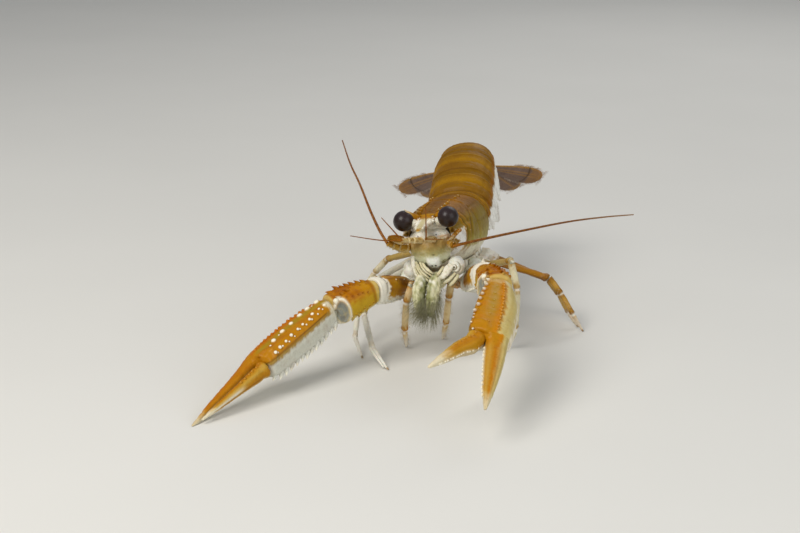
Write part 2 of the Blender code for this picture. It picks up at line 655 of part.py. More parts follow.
def vane(name, root, heading, length, shape, level, thickness, tone):
    # A thin plate of the tail fan. Its shape is a list of its place along the plate and its
    # half width to either side.
    frame = RINGS[6]
    turned = math.radians(heading)
    way = frame[1] @ np.array([math.sin(turned), math.cos(turned), 0])
    side = frame[1] @ np.array([math.cos(turned), -math.sin(turned), 0])
    over = frame[1][:, 2]
    start = moved(body_joint(6), GAP / 2)
    base = place(frame, (root, 0, level))
    rings = []
    for row, (part, inner, outer) in enumerate(shape):
        half = thickness / 2 * (1.0 if part < 0.5 else 1.0 - 0.4 * (part - 0.5))
        outline = ((-inner, 0), (-inner * 0.75, half), (outer * 0.75, half),
                   (outer, 0), (outer * 0.75, -half), (-inner * 0.75, -half))
        ring = np.array([base + way * length * part + side * x + over * z for x, z in outline])
        rings.append(slide(ring, way, start) if row == 0 else ring)
    return loft(name, rings, tone)


def make_tail_fan():
    vane("telson", 0.0, 0.0, TELSON_LENGTH, TELSON_SHAPE, 1.7, 1.6, "fan")
    for label, sign in HANDS:
        for name, root, heading, length, level in UROPODS:
            vane(name + label, sign * root, sign * heading, length, BLADE_SHAPE, level, 1.1, "fan")


# Limbs
def side_face(back, sign):
    # The middle of the breast plates' side where a limb leaves, and the way out of it.
    top = carapace_bottom(back, STERNUM_HALF_WIDTH) - 1.3 * GAP
    point = on_carapace(back, sign * (STERNUM_HALF_WIDTH + GAP), top - STERNUM_DEPTH * 0.56)
    return point, CARAPACE[1][:, 0] * sign


def make_leg(hand, number):
    label, sign = hand
    back, joints = LEGS[label, number]
    ischium, knee, carpus, propodus, foot = (np.array(point) for point in joints)
    root = side_face(back, sign)
    out, down = (2.4, 2.4) if number == 2 else (3.2, 1.0)
    elbow = root[0] + CARAPACE[1] @ np.array([sign * out, -0.4, -down])
    across = np.cross(unit(knee - elbow), unit(foot - knee))
    across = unit(across) if np.linalg.norm(across) > 0.1 else np.array([1.0, 0, 0])
    name = "leg_%d_%s_" % (number, label)
    knee_joint = bisector(ischium, knee, carpus)
    middle = ischium + (knee - ischium) * 0.5
    sizes = [(1.8, 1.8), (1.9, 1.9), (1.45, 1.6), (1.3, 1.75), (1.15, 1.4)]
    limb(name + "upper", [root[0], elbow, ischium, middle, knee], sizes, across, "leg",
         start=root, end=moved(knee_joint, -GAP / 2), sides=8)
    lower = [knee, knee + (carpus - knee) * 0.6, carpus, (carpus + propodus) / 2, propodus, foot]
    sizes = [(1.15, 1.3), (1.2, 1.45), (1.0, 1.15), (1.05, 1.35), (0.85, 1.1), (0.35, 0.35)]
    shin = limb(name + "lower", lower, sizes, across, "leg",
                start=moved(knee_joint, GAP / 2), end=FLOOR, sides=8)
    if number > 3:
        return
    # The second finger of a small pincer, beside the one that stands on the floor.
    way = unit(foot - propodus)
    aside = np.cross(way, across)
    aside = aside if aside[1] < 0 else -aside
    points = [propodus - way * 2.0, propodus + aside * 1.0 + way, foot + aside * 1.1 - way * 1.3]
    fuse(shin, [limb("finger", points, [(0.5, 0.5), (0.65, 0.65), (0.3, 0.3)], across, "leg", sides=6)])


def ridge(label, where):
    # The corner of a cheliped's rings that a ridge follows, on either hand.
    left = RIDGES[where]
    return left if label == "L" else (CLAW_SIDES / 2 - 1 - left) % CLAW_SIDES


def add_claw_spines(label, lengths):
    merus, carpus, propodus, dactyl = lengths
    for obj, rows in ((merus, MERUS_SPINES), (carpus, CARPUS_SPINES), (propodus, PALM_SPINES)):
        spines = []
        for where, first, last, count, length, radius, lean in rows:
            spines += spine_row(obj.name, ridge(label, where), first, last, count, length, radius, lean)
        if obj == propodus and label == OPEN_CLAW:
            spines += spine_row(obj.name, ridge(label, "inner"), 36.0, 57.0, 7, 0.6, 0.75, 0.0)
        fuse(obj, spines)
    if label == OPEN_CLAW:
        fuse(dactyl, spine_row(dactyl.name, 4.5, 5.0, 24.0, 7, 0.6, 0.75, 0.0))


def make_cheliped(hand):
    label, sign = hand
    ischium, merus, carpus, palm, finger, thumb = (np.array(point) for point in CHELIPEDS[label][:6])
    roll = CHELIPEDS[label][6]
    root = side_face(CHELIPED_BACK, sign)
    bends = (root[0], ischium, merus, carpus, palm)
    joints = [bisector(*bends[number:number + 3]) for number in range(3)]
    name = "cheliped_%s_" % label
    elbow = root[0] + CARAPACE[1] @ np.array([sign * 3.2, -1.0, -1.0])
    line = [root[0], elbow, (elbow + ischium) / 2, ischium]
    limb(name + "base", line, [(2.6, 2.2), (3.0, 2.9), (3.3, 3.4), (3.2, 3.3)], UP, "claw",
         start=root, end=moved(joints[0], -GAP / 2), sides=10)
    line = [ischium, ischium + (merus - ischium) * 0.2, ischium + (merus - ischium) * 0.7, merus]
    limb_merus = limb(name + "merus", line, [(3.1, 3.3), (3.7, 4.1), (4.6, 5.1), (4.0, 4.6)], UP, "claw",
                      start=moved(joints[0], GAP / 2), end=moved(joints[1], -GAP / 2),
                      sides=CLAW_SIDES, shape=2.6)
    line = [merus, merus + (carpus - merus) * 0.35, merus + (carpus - merus) * 0.75, carpus]
    limb_carpus = limb(name + "carpus", line, [(3.9, 4.3), (5.2, 5.4), (6.0, 6.0), (4.7, 4.9)], UP, "claw",
                       start=moved(joints[1], GAP / 2), end=moved(joints[2], -GAP / 2),
                       sides=CLAW_SIDES, shape=2.6)
    # Palm and fixed finger are one piece, with a step where the moving finger sits.
    way = unit(palm - carpus)
    line = []
    sizes = []
    for part, wide, high in PALM_SHAPE:
        line.append(carpus + (palm - carpus) * part)
        sizes.append((wide, high))
    for part, wide, high, aside in FINGER_SHAPE:
        line.append(palm + (finger - palm) * part)
        sizes.append((wide, high, aside * sign, 0.0))
    limb_propodus = limb(name + "propodus", line, sizes, UP, "claw", start=moved(joints[2], GAP / 2),
                         end=FLOOR if finger[2] == 0 else None, sides=CLAW_SIDES, shape=2.7, roll=roll)
    hinge = palm + cross_axes(way, UP, roll)[0] * sign * HINGE_SIDE
    to_tip = thumb - hinge
    line = [hinge, hinge + way * 2.5 + to_tip * 0.05, hinge + to_tip * 0.4, hinge + to_tip * 0.8, thumb]
    limb_dactyl = limb(name + "dactyl", line, [(2.7, 3.4), (2.5, 3.2), (1.8, 2.3), (1.0, 1.2), (0.4, 0.4)],
                       UP, "finger", start=(palm + way * GAP, way), sides=10, shape=2.4, roll=roll)
    add_claw_spines(label, (limb_merus, limb_carpus, limb_propodus, limb_dactyl))


make_carapace()
underside("mouth", 0.0, MOUTH_END, MOUTH_HALF_WIDTH, MOUTH_DEPTH, "pale")
underside("breast", MOUTH_END + GAP, 47.0, STERNUM_HALF_WIDTH, STERNUM_DEPTH, "pale")
make_face()
make_rostrum()
for number in range(6):
    make_abdomen_ring(number)
make_tail_fan()
for hand in HANDS:
    make_eye(hand)
    make_antenna(hand)
    make_antennal_scale(hand)
    make_antennule(hand)
    make_maxilliped(hand)
    make_cheliped(hand)
    for number in (2, 3, 4, 5):
        make_leg(hand, number)
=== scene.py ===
import math
import random

import bmesh
import bpy
import numpy as np
from mathutils import Matrix, Vector
from mathutils.bvhtree import BVHTree


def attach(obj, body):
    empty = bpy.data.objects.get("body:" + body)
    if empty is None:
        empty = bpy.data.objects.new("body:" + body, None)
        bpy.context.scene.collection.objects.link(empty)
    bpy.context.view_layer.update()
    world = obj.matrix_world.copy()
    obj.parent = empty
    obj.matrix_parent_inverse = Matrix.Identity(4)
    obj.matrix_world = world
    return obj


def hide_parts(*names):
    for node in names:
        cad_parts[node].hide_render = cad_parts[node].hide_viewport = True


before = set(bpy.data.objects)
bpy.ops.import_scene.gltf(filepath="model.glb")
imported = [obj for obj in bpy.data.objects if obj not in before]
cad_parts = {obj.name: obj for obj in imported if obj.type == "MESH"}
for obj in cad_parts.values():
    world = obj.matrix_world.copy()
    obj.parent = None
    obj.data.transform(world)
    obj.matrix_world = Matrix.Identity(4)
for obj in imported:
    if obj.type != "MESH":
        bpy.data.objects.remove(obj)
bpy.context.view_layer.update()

# Lengths below are millimetres on the body, with y = 0 at the eyes' sockets and the floor at
# z = 0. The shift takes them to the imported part's own middle.
millimetre = 0.001
shift = np.array([-1.8, -23.2, 0])
gap = 0.3
upward = np.array([0, 0, 1.0])
hands = (("L", 1), ("R", -1))
dice = random.Random(11)


def unit(vector):
    vector = np.asarray(vector, float)
    return vector / np.linalg.norm(vector)


def squareTo(vector, way):
    return unit(vector - (vector @ way) * way)


def turn(yaw, pitch, lean):
    a, b, c = (math.radians(value) for value in (yaw, pitch, lean))
    swing = np.array([[math.cos(a), -math.sin(a), 0], [math.sin(a), math.cos(a), 0], [0, 0, 1]])
    lift = np.array([[1, 0, 0], [0, math.cos(b), -math.sin(b)], [0, math.sin(b), math.cos(b)]])
    tip = np.array([[math.cos(c), 0, math.sin(c)], [0, 1, 0], [-math.sin(c), 0, math.cos(c)]])
    return swing @ lift @ tip


def place(axes, point):
    return axes[0] + axes[1] @ np.asarray(point, float)


def unplace(axes, points):
    return (points - axes[0]) @ axes[1]


def moved(plane, distance):
    return plane[0] + plane[1] * distance, plane[1]


def bisector(before, joint, after):
    joint = np.asarray(joint, float)
    return joint, unit(unit(joint - np.asarray(before)) + unit(np.asarray(after) - joint))


def slide(points, way, plane):
    return points + (((plane[0] - points) @ plane[1]) / (way @ plane[1]))[:, None] * way


def lengthsAlong(line):
    return np.concatenate([[0], np.cumsum(np.linalg.norm(np.diff(line, axis=0), axis=1))])


def roundAngles(count, start=0):
    return 2 * math.pi * (np.arange(count) + start) / count


def shrunk(ring, size):
    middle = ring.mean(axis=0)
    return middle + (ring - middle) * size


def jitter(size):
    return np.array([dice.gauss(0, size) for _ in range(3)])


def power(value, exponent):
    return np.sign(value) * np.abs(value) ** exponent


def fade(low, high, value):
    t = np.clip((np.asarray(value, float) - low) / (high - low), 0, 1)
    return t * t * (3 - 2 * t)


def bump(value, middle, width):
    return np.exp(-((np.asarray(value, float) - middle) / width) ** 2)


def glide(places, values, at):
    # A smooth curve through the values that never swings past them.
    places, values = np.asarray(places, float), np.asarray(values, float)
    steps = np.diff(places)
    slopes = np.diff(values, axis=0) / steps.reshape(-1, *[1] * (values.ndim - 1))
    tangents = np.zeros_like(values)
    same = slopes[:-1] * slopes[1:] > 0
    total = slopes[:-1] + slopes[1:]
    tangents[1:-1] = np.where(same, 2 * slopes[:-1] * slopes[1:] / np.where(same, total, 1), 0)
    tangents[0], tangents[-1] = slopes[0], slopes[-1]
    low = np.clip(np.searchsorted(places, at, side="right") - 1, 0, len(steps) - 1)
    shape = (-1, *[1] * (values.ndim - 1))
    t = ((at - places[low]) / steps[low]).reshape(shape)
    wide = steps[low].reshape(shape)
    return ((2 * t ** 3 - 3 * t ** 2 + 1) * values[low] + (t ** 3 - 2 * t ** 2 + t) * wide * tangents[low]
        + (3 * t ** 2 - 2 * t ** 3) * values[low + 1] + (t ** 3 - t ** 2) * wide * tangents[low + 1])


def wobble(points, size, seed):
    # A smooth random field of about -1 to 1, with lumps of this many millimetres.
    source = np.random.default_rng(seed)
    total = np.zeros(len(points))
    for _ in range(8):
        way = unit(source.normal(size=3))
        wave = 2 * math.pi / size * source.uniform(0.6, 1.5)
        total += np.sin(points @ way * wave + source.uniform(0, 2 * math.pi))
    return total / 3.2


def tone(code):
    # A colour as painters write it, made linear.
    parts = np.array([int(code[start:start + 2], 16) for start in (1, 3, 5)]) / 255
    return np.where(parts <= 0.04045, parts / 12.92, ((parts + 0.055) / 1.055) ** 2.4)


def layered(base, *coats):
    # Tones painted one over another, each as strongly as its amount says at each point.
    colors = tone(base)[None] if isinstance(base, str) else base
    for code, amount in coats:
        colors = colors + (tone(code) - colors) * np.clip(amount, 0, 1)[:, None]
    return colors


# Forms

def growForm(name, rings, levels=2):
    # A disc is extruded ring by ring, each ring set to its outline, then subdivided smooth.
    bpy.ops.object.select_all(action="DESELECT")
    bpy.ops.mesh.primitive_circle_add(vertices=len(rings[0]), radius=millimetre, fill_type="NGON")
    piece = bpy.context.active_object
    piece.name = piece.data.name = name
    bpy.ops.object.mode_set(mode="EDIT")
    bpy.ops.mesh.select_mode(type="FACE")
    bpy.ops.mesh.select_all(action="SELECT")
    for number, ring in enumerate(rings):
        if number:
            bpy.ops.mesh.extrude_region_move()
        form = bmesh.from_edit_mesh(piece.data)
        tip = next(face for face in form.faces if face.select)
        for vert, point in zip(tip.verts, ring):
            vert.co = Vector(((point + shift) * millimetre).tolist())
        bmesh.update_edit_mesh(piece.data)
    bpy.ops.mesh.select_all(action="SELECT")
    bpy.ops.mesh.normals_make_consistent(inside=False)
    bpy.ops.object.mode_set(mode="OBJECT")
    if levels:
        finer(piece, levels)
    return piece


def finer(piece, levels):
    bpy.ops.object.select_all(action="DESELECT")
    piece.select_set(True)
    bpy.context.view_layer.objects.active = piece
    bpy.ops.object.modifier_add(type="SUBSURF")
    smoother = piece.modifiers[-1]
    smoother.levels = smoother.render_levels = levels
    bpy.ops.object.modifier_apply(modifier=smoother.name)


def readPoints(piece):
    points = np.empty(len(piece.data.vertices) * 3)
    piece.data.vertices.foreach_get("co", points)
    return points.reshape(-1, 3) / millimetre - shift


def readNormals(piece):
    normals = np.empty(len(piece.data.vertices) * 3)
    piece.data.vertex_normals.foreach_get("vector", normals)
    return normals.reshape(-1, 3)


def writePoints(piece, points):
    piece.data.vertices.foreach_set("co", ((points + shift) * millimetre).ravel())
    piece.data.update()


def pushOut(piece, heights):
    # Sculpts by moving each point along its normal.
    writePoints(piece, readPoints(piece) + readNormals(piece) * heights[:, None])


def limbLine(line, sizes, step, over, roll=0):
    # Stations along a line, closer than the ones given. Each has its middle, its two
    # directions across, and its half width, half height and offset.
    line = np.array([np.asarray(point, float) for point in line])
    sizes = np.array([list(size) + [0] * (4 - len(size)) for size in sizes], float)
    distances = lengthsAlong(line)
    at = [0]
    for first, last in zip(distances, distances[1:]):
        count = max(1, int(round((last - first) / step)))
        at += [first + (last - first) * number / count for number in range(1, count + 1)]
    at = np.array(at)
    middles = np.stack([np.interp(at, distances, line[:, axis]) for axis in range(3)], axis=1)
    shapes = glide(distances, sizes, at)
    ways = np.array([unit(middles[min(row + 1, len(at) - 1)] - middles[max(row - 1, 0)])
            for row in range(len(at))])
    sides, overs = [], []
    for way in ways:
        high = squareTo(over, way)
        wide = np.cross(way, high)
        a = math.radians(roll)
        sides.append(wide * math.cos(a) + high * math.sin(a))
        overs.append(high * math.cos(a) - wide * math.sin(a))
    return {"at": at, "middles": middles, "ways": ways, "sides": np.array(sides), "overs": np.array(overs),
        "shapes": shapes}


def limbRings(guide, corners, squareness=2.2, start=None, end=None, lip=0.9):
    # Superellipse outlines round a line, closed by small lips that keep the rims crisp.
    rings = []
    angles = roundAngles(corners, 0.5)
    around = power(np.cos(angles), 2 / squareness), power(np.sin(angles), 2 / squareness)
    last = len(guide["at"]) - 1
    for row, (middle, side, over, (wide, high, aside, above)) in enumerate(
            zip(guide["middles"], guide["sides"], guide["overs"], guide["shapes"])):
        ring = middle + np.outer(around[0] * wide + aside, side) + np.outer(around[1] * high + above, over)
        if row == 0 and start is not None:
            ring = slide(ring, guide["ways"][0], start)
        if row == last and end is not None:
            ring = slide(ring, guide["ways"][-1], end)
        rings.append(ring)
    for index, inner in ((0, 1), (-1, -2)):
        lipped = shrunk(rings[index], lip)
        toward = rings[inner] - rings[index]
        raised = rings[index] + toward * np.minimum(0.35 / np.linalg.norm(toward, axis=1, keepdims=True), 0.4)
        rings = [lipped, raised] + rings[1:] if index == 0 else rings[:-1] + [raised, lipped]
    return rings


def limbForm(name, line, sizes, over, corners=12, squareness=2.2, step=2.5, levels=2, roll=0,
        start=None, end=None, lip=0.9):
    guide = limbLine(line, sizes, step, np.asarray(over, float), roll)
    piece = growForm(name, limbRings(guide, corners, squareness, start, end, lip), levels)
    return piece, guide


def survey(piece, guide, sign=1):
    # A limb's points: along it, the angle up from its inner side, and across it, sideways and up.
    points, middles = readPoints(piece), guide["middles"]
    best = np.full(len(points), np.inf)
    along, aside, above = np.zeros(len(points)), np.zeros(len(points)), np.zeros(len(points))
    for row in range(len(middles) - 1):
        span = middles[row + 1] - middles[row]
        long = np.linalg.norm(span)
        part = ((points - middles[row]) @ span) / long ** 2
        held = np.clip(part, -0.6 if row == 0 else 0, 1.6 if row == len(middles) - 2 else 1)
        off = points - (middles[row] + held[:, None] * span)
        apart = (off ** 2).sum(axis=1)
        near = apart < best
        best[near] = apart[near]
        along[near] = (guide["at"][row] + held * long)[near]
        aside[near] = (off @ guide["sides"][row])[near] - guide["shapes"][row][2]
        above[near] = (off @ guide["overs"][row])[near] - guide["shapes"][row][3]
    return points, along, np.degrees(np.arctan2(above, aside * sign)), aside, above


# Spines, knobs and bristles

def makeModel(name, profile, corners, lean):
    # One small form, one millimetre high and one in radius, that is copied many times.
    rings = []
    for height, radius in profile:
        angles = roundAngles(corners)
        rings.append(np.stack([np.cos(angles) * radius + lean * height ** 2, np.sin(angles) * radius,
                    np.full(corners, height)], axis=1) - shift)
    model = growForm(name, rings, 0)
    heights = readPoints(model)[:, 2] + shift[2]
    model.data.attributes.new("tipward", "FLOAT", "POINT").data.foreach_set("value", np.clip(heights, 0, 1))
    model.hide_render = True
    bpy.context.scene.collection.objects.unlink(model)
    return model


growthShapes = {
    # outline as heights and radii, corners, lean
    "thorn": (((-0.5, 1.25), (0, 1), (0.3, 0.72), (0.65, 0.4), (0.93, 0.13), (1, 0.05)), 8, 0.35),
    "knob": (((-0.5, 1.3), (0.05, 1.12), (0.4, 0.95), (0.75, 0.68), (0.95, 0.35), (1, 0.1)), 10, 0),
}
growths = {name: makeModel(name, *values) for name, values in growthShapes.items()}


def growth(kind, root, out, forward, height, radius, pale=1):
    # A copy of a small form, set on a surface and leaning forward, with how far its tone changes to its tip.
    way = unit(out)
    ahead = squareTo(forward, way)
    aside = np.cross(way, ahead)
    copy = growths[kind].copy()
    copy.data = growths[kind].data.copy()
    copy.hide_render = False
    bpy.context.scene.collection.objects.link(copy)
    turned = Matrix([[*(ahead * radius), 0], [*(aside * radius), 0], [*(way * height), 0],
            [0, 0, 0, 1]]).transposed()
    spot = (np.asarray(root) + shift) * millimetre
    copy.data.transform(Matrix.Translation(spot.tolist()) @ turned)
    if pale < 1:
        copy.data.attributes["tipward"].data.foreach_set("value", tipwardOf(copy) * pale)
    return copy


def joinInto(piece, extras):
    if not extras:
        return
    if "tipward" not in piece.data.attributes:
        piece.data.attributes.new("tipward", "FLOAT", "POINT")
    bpy.ops.object.select_all(action="DESELECT")
    for extra in extras:
        extra.select_set(True)
    piece.select_set(True)
    bpy.context.view_layer.objects.active = piece
    bpy.ops.object.join()


def tipwardOf(piece):
    values = np.zeros(len(piece.data.vertices))
    if "tipward" in piece.data.attributes:
        piece.data.attributes["tipward"].data.foreach_get("value", values)
    return values


def treeOf(piece):
    return BVHTree.FromPolygons([vert.co for vert in piece.data.vertices],
        [face.vertices for face in piece.data.polygons])


def seat(tree, guide, distance, angle):
    # Where a ray from outside meets a limb's shell, with the ways out of it and forward.
    row = float(np.interp(distance, guide["at"], range(len(guide["at"]))))
    low = min(int(row), len(guide["at"]) - 2)
    part = row - low
    middle = guide["middles"][low] * (1 - part) + guide["middles"][low + 1] * part
    shape = guide["shapes"][low] * (1 - part) + guide["shapes"][low + 1] * part
    side, over = guide["sides"][low], guide["overs"][low]
    a = math.radians(angle)
    out = side * math.cos(a) + over * math.sin(a)
    middle = middle + side * shape[2] + over * shape[3]
    start = (middle + out * 30 + shift) * millimetre
    spot, normal, _, _ = tree.ray_cast(Vector(start.tolist()), Vector((-out).tolist()))
    if spot is None:
        return None
    return np.array(spot) / millimetre - shift, np.array(normal), guide["ways"][low]


def spineRow(tree, guide, sign, kind, first, last, count, angles, height, radius, lean, scatter=1.5, pale=1):
    # Growths along a limb at an angle up from its inner side, on either hand.
    extras = []
    for number in range(count):
        part = number / max(1, count - 1)
        angle = angles[0] + (angles[1] - angles[0]) * part + dice.uniform(-1, 1) * scatter
        found = seat(tree, guide, first + (last - first) * part + dice.uniform(-0.3, 0.3),
            angle if sign > 0 else 180 - angle)
        if found is not None:
            size = dice.uniform(0.8, 1.15)
            extras.append(growth(kind, found[0], found[1] + found[2] * lean, found[2], height * size,
                    radius * size, pale))
    return extras


def spineRows(tree, guide, sign, rows, pale=1):
    return [extra for row in rows for extra in spineRow(tree, guide, sign, *row, pale=pale)]


def bristles(name, hairs, thickness, droop, finish, slot):
    # Fine hairs as one mesh, each a three-sided curved taper. A hair is its root, way and length.
    roots, ways = (np.array([hair[part] for hair in hairs], float) for part in (0, 1))
    lengths, droop = np.array([hair[2] for hair in hairs], float), np.array(droop, float)
    ways /= np.linalg.norm(ways, axis=1, keepdims=True)
    around = np.cross(ways, ways[:, [1, 2, 0]] + 0.31)
    around /= np.linalg.norm(around, axis=1, keepdims=True)
    other = np.cross(ways, around)
    points = []
    for part, size in ((0, 1), (0.4, 0.8), (0.75, 0.5)):
        middle = roots + ways * (lengths * part)[:, None] + droop * (lengths * part ** 2)[:, None]
        for corner in range(3):
            a = 2 * math.pi * corner / 3
            points.append(middle + (around * math.cos(a) + other * math.sin(a)) * thickness / 2 * size)
    points.append(roots + ways * lengths[:, None] + droop * lengths[:, None])
    points = np.stack(points, axis=1).reshape(-1, 3)
    one, following = [(2, 1, 0)], (1, 2, 0)
    one += [(ring + corner, ring + following[corner], ring + 3 + following[corner], ring + 3 + corner)
        for ring in (0, 3) for corner in range(3)]
    one += [(6 + corner, 6 + following[corner], 9) for corner in range(3)]
    faces = [[hair * 10 + corner for corner in face] for hair in range(len(roots)) for face in one]
    mesh = bpy.data.meshes.new(name)
    mesh.from_pydata(((points + shift) * millimetre).tolist(), [], faces)
    piece = bpy.data.objects.new(name, mesh)
    bpy.context.scene.collection.objects.link(piece)
    # each hair is a small patch at its root's place on a flattened skin: round the root cloud, and along it
    long = np.linalg.svd(roots - roots.mean(axis=0), full_matrices=False)[2]
    flat = (roots - roots.mean(axis=0)) @ long.T
    length = (flat[:, 0] - flat[:, 0].min()) / (np.ptp(flat[:, 0]) + 1e-6)
    lie = np.stack([np.arctan2(flat[:, 2], flat[:, 1]) / 6.6 + 0.5, length * 0.98 + 0.01], axis=1)
    corners = np.array([corner for face in one for corner in face])
    spread = np.stack([corners % 3, corners // 3], axis=1) * 0.001
    mesh.uv_layers.new(name="OFBake").data.foreach_set("uv", (lie[:, None] + spread[None]).ravel())
    return dress(piece, finish, slot)


def hairRow(name, tree, guide, count, along, angles, swing, lengths, thickness, finish, slot, droop=(0, 0, 0),
        out=1, stray=0.14):
    # Hairs on a limb: where along and round it, how far they lean forward, and how long they are.
    hairs = []
    for _ in range(count):
        found = seat(tree, guide, dice.uniform(*along), dice.choice(angles) + dice.gauss(0, 9))
        if found is not None:
            way = found[1] * out + found[2] * dice.uniform(*swing) + jitter(stray)
            hairs.append((found[0] - found[1] * 0.08, unit(way), dice.uniform(*lengths)))
    hairs = [hair for hair in hairs if hair[0][2] + hair[1][2] * hair[2] > 0.3]
    return bristles(name, hairs, thickness, droop, finish, slot)


# Finishes

def paint(piece, colors):
    # Strong tones go in deeper and yellower than named, since the gloss washes them.
    rich = 1 - colors.min(axis=1, keepdims=True) / (colors.max(axis=1, keepdims=True) + 1e-6)
    colors = colors * (1 - rich ** 2 * (0.14, 0.03, 0.75))
    layer = piece.data.color_attributes.new("shellTint", "FLOAT_COLOR", "POINT")
    layer.data.foreach_set("color", np.hstack([np.clip(colors, 0, 1), np.ones((len(colors), 1))]).ravel())


def addNode(tree, kind, output, inputs, **settings):
    # A node whose inputs are plain values or other nodes' outputs. Gives one output of its own.
    node = tree.nodes.new("ShaderNode" + kind)
    for name, value in settings.items():
        setattr(node, name, value)
    fill(tree, node, inputs)
    return node.outputs[output]


def fill(tree, node, inputs):
    for name, value in inputs.items():
        if isinstance(value, bpy.types.NodeSocket):
            tree.links.new(value, node.inputs[name])
        else:
            node.inputs[name].default_value = value


def mixed(tree, amount, base, code):
    inputs = {"Factor": amount, "A": base, "B": (*tone(code), 1)}
    return addNode(tree, "Mix", "Result", inputs, data_type="RGBA")


def newFinish(name):
    material = bpy.data.materials.new(name)
    material.use_nodes = True
    tree = material.node_tree
    painted = addNode(tree, "Attribute", "Color", {}, attribute_name="shellTint")
    where = addNode(tree, "TexCoord", "Object", {})
    return material, tree, tree.nodes["Principled BSDF"], where, painted


def shellFinish(name, look):
    # Shell whose painted tone is clouded, speckled and pitted on Object coordinates.
    material, tree, shader, where, color = newFinish(name)

    def noiseAt(scale, detail, rough=0.6):
        inputs = {"Scale": scale, "Detail": detail, "Roughness": rough, "Vector": where}
        return addNode(tree, "TexNoise", "Fac", inputs)

    def spread(value, low, high, first, last):
        inputs = {"Value": value, "From Min": low, "From Max": high, "To Min": first, "To Max": last}
        return addNode(tree, "MapRange", "Result", inputs)

    cloud = noiseAt(look["cloudScale"], 5)
    color = mixed(tree, spread(cloud, 0.5, 0.75, 0, look["cloudDepth"]), color, look["cloudTone"])
    pale = noiseAt(look["cloudScale"] * 0.8, 3)
    color = mixed(tree, spread(pale, 0.52, 0.75, 0, look["paleDepth"]), color, look["paleTone"])
    specks = noiseAt(look["speckScale"], 2, 0.5)
    color = mixed(tree, spread(specks, 0.58, 0.7, 0, look["speckDepth"]), color, look["speckTone"])
    pits = spread(addNode(tree, "TexVoronoi", "Distance", {"Scale": look["pitScale"], "Vector": where}), 0, 0.5,
        0, 1)
    inputs = {0: pits, 1: look["pitDepth"], 2: noiseAt(look["grainScale"], 4)}
    height = addNode(tree, "Math", "Value", inputs, operation="MULTIPLY_ADD")
    relief = addNode(tree, "Bump", "Normal", {"Strength": look["relief"], "Distance": 0.0002, "Height": height})
    fill(tree, shader, {
            "Base Color": color, "Roughness": spread(cloud, 0.3, 0.7, *look["rough"]), "Normal": relief,
            "Coat Weight": look["coat"], "Coat Roughness": 0.16, "Specular IOR Level": look["gloss"],
            "Subsurface Weight": look["glow"], "Subsurface Radius": (1, 0.45, 0.25), "Subsurface Scale": 0.0012,
        })
    return material


plainShell = {
    "cloudScale": 260, "cloudDepth": 0.45, "cloudTone": "#6a3c06", "paleDepth": 0.12, "paleTone": "#d8a038",
    "speckScale": 1900, "speckDepth": 0.35, "speckTone": "#553006", "rough": (0.42, 0.6), "pitScale": 1500,
    "pitDepth": 0.5, "grainScale": 1300, "relief": 0.18, "coat": 0.03, "gloss": 0.14, "glow": 0,
}
shellLooks = {
    "carapaceShell": {},
    "abdomenShell": {"cloudScale": 190, "cloudTone": "#6b4004", "paleTone": "#cf9624"},
    "clawShell": {"cloudDepth": 0.22, "paleDepth": 0.08, "speckDepth": 0.16, "cloudTone": "#8f4a06",
        "rough": (0.4, 0.54), "relief": 0.12, "coat": 0.06},
    "paleShell": {"cloudDepth": 0.16, "cloudTone": "#9b8c6c", "paleTone": "#f2eee2", "paleDepth": 0.3,
        "speckTone": "#6d5a3c", "speckDepth": 0.12, "glow": 0.05, "coat": 0.06},
    "legShell": {"cloudScale": 330, "cloudDepth": 0.18, "cloudTone": "#a2603a", "paleTone": "#efe6dc",
        "speckDepth": 0.2, "speckTone": "#8c5634", "rough": (0.34, 0.5), "glow": 0.08},
    "fanShell": {"cloudScale": 300, "cloudDepth": 0.25, "cloudTone": "#4b3530", "paleTone": "#c9a698",
        "speckTone": "#3c2220", "rough": (0.38, 0.54), "glow": 0.06},
    "feelerShell": {"cloudDepth": 0.2, "cloudTone": "#3c1407", "paleDepth": 0.1, "speckDepth": 0.1,
        "rough": (0.3, 0.42), "relief": 0.15},
}


def eyeFinish():
    material, tree, shader, where, painted = newFinish("wetEye")
    facets = addNode(tree, "TexVoronoi", "Distance", {"Scale": 5200, "Vector": where})
    relief = addNode(tree, "Bump", "Normal", {"Strength": 0.06, "Distance": 0.00005, "Height": facets})
    fill(tree, shader, {
            "Base Color": mixed(tree, facets, painted, "#2a1710"), "Normal": relief, "Roughness": 0.42,
            "Specular IOR Level": 0.3, "Coat Weight": 0.14, "Coat Roughness": 0.1,
        })
    return material


def hairFinish(name, root, tip):
    material, tree, shader, where, _ = newFinish(name)
    clumps = addNode(tree, "TexNoise", "Fac", {"Scale": 900, "Vector": where})
    fill(tree, shader, {"Base Color": mixed(tree, clumps, (*tone(root), 1), tip), "Roughness": 0.5})
    return material


finishes = {name: shellFinish(name, {**plainShell, **look}) for name, look in shellLooks.items()}
finishes["wetEye"] = eyeFinish()
for name, root, tip in (("paleHair", "#b8a684", "#e6dcc4"), ("mouthHair", "#504c34", "#b5b08a"),
        ("fanHair", "#a98f7c", "#d9c6b2")):
    finishes[name] = hairFinish(name, root, tip)


def finish(piece, colors, *rest):
    paint(piece, colors)
    dress(piece, *rest)


def dress(piece, finish, slot, *nodes):
    # Gives a piece its finish and smooth shading, hangs it on the body's root and hides the imported parts it
    # stands in for.
    piece.data.materials.clear()
    piece.data.materials.append(finishes[finish])
    piece.data.polygons.foreach_set("use_smooth", np.ones(len(piece.data.polygons), bool))
    piece.data.update()
    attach(piece, "root")
    if nodes:
        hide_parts(*nodes)
    return piece


print("kit ready")


# Body axes, which the limbs share

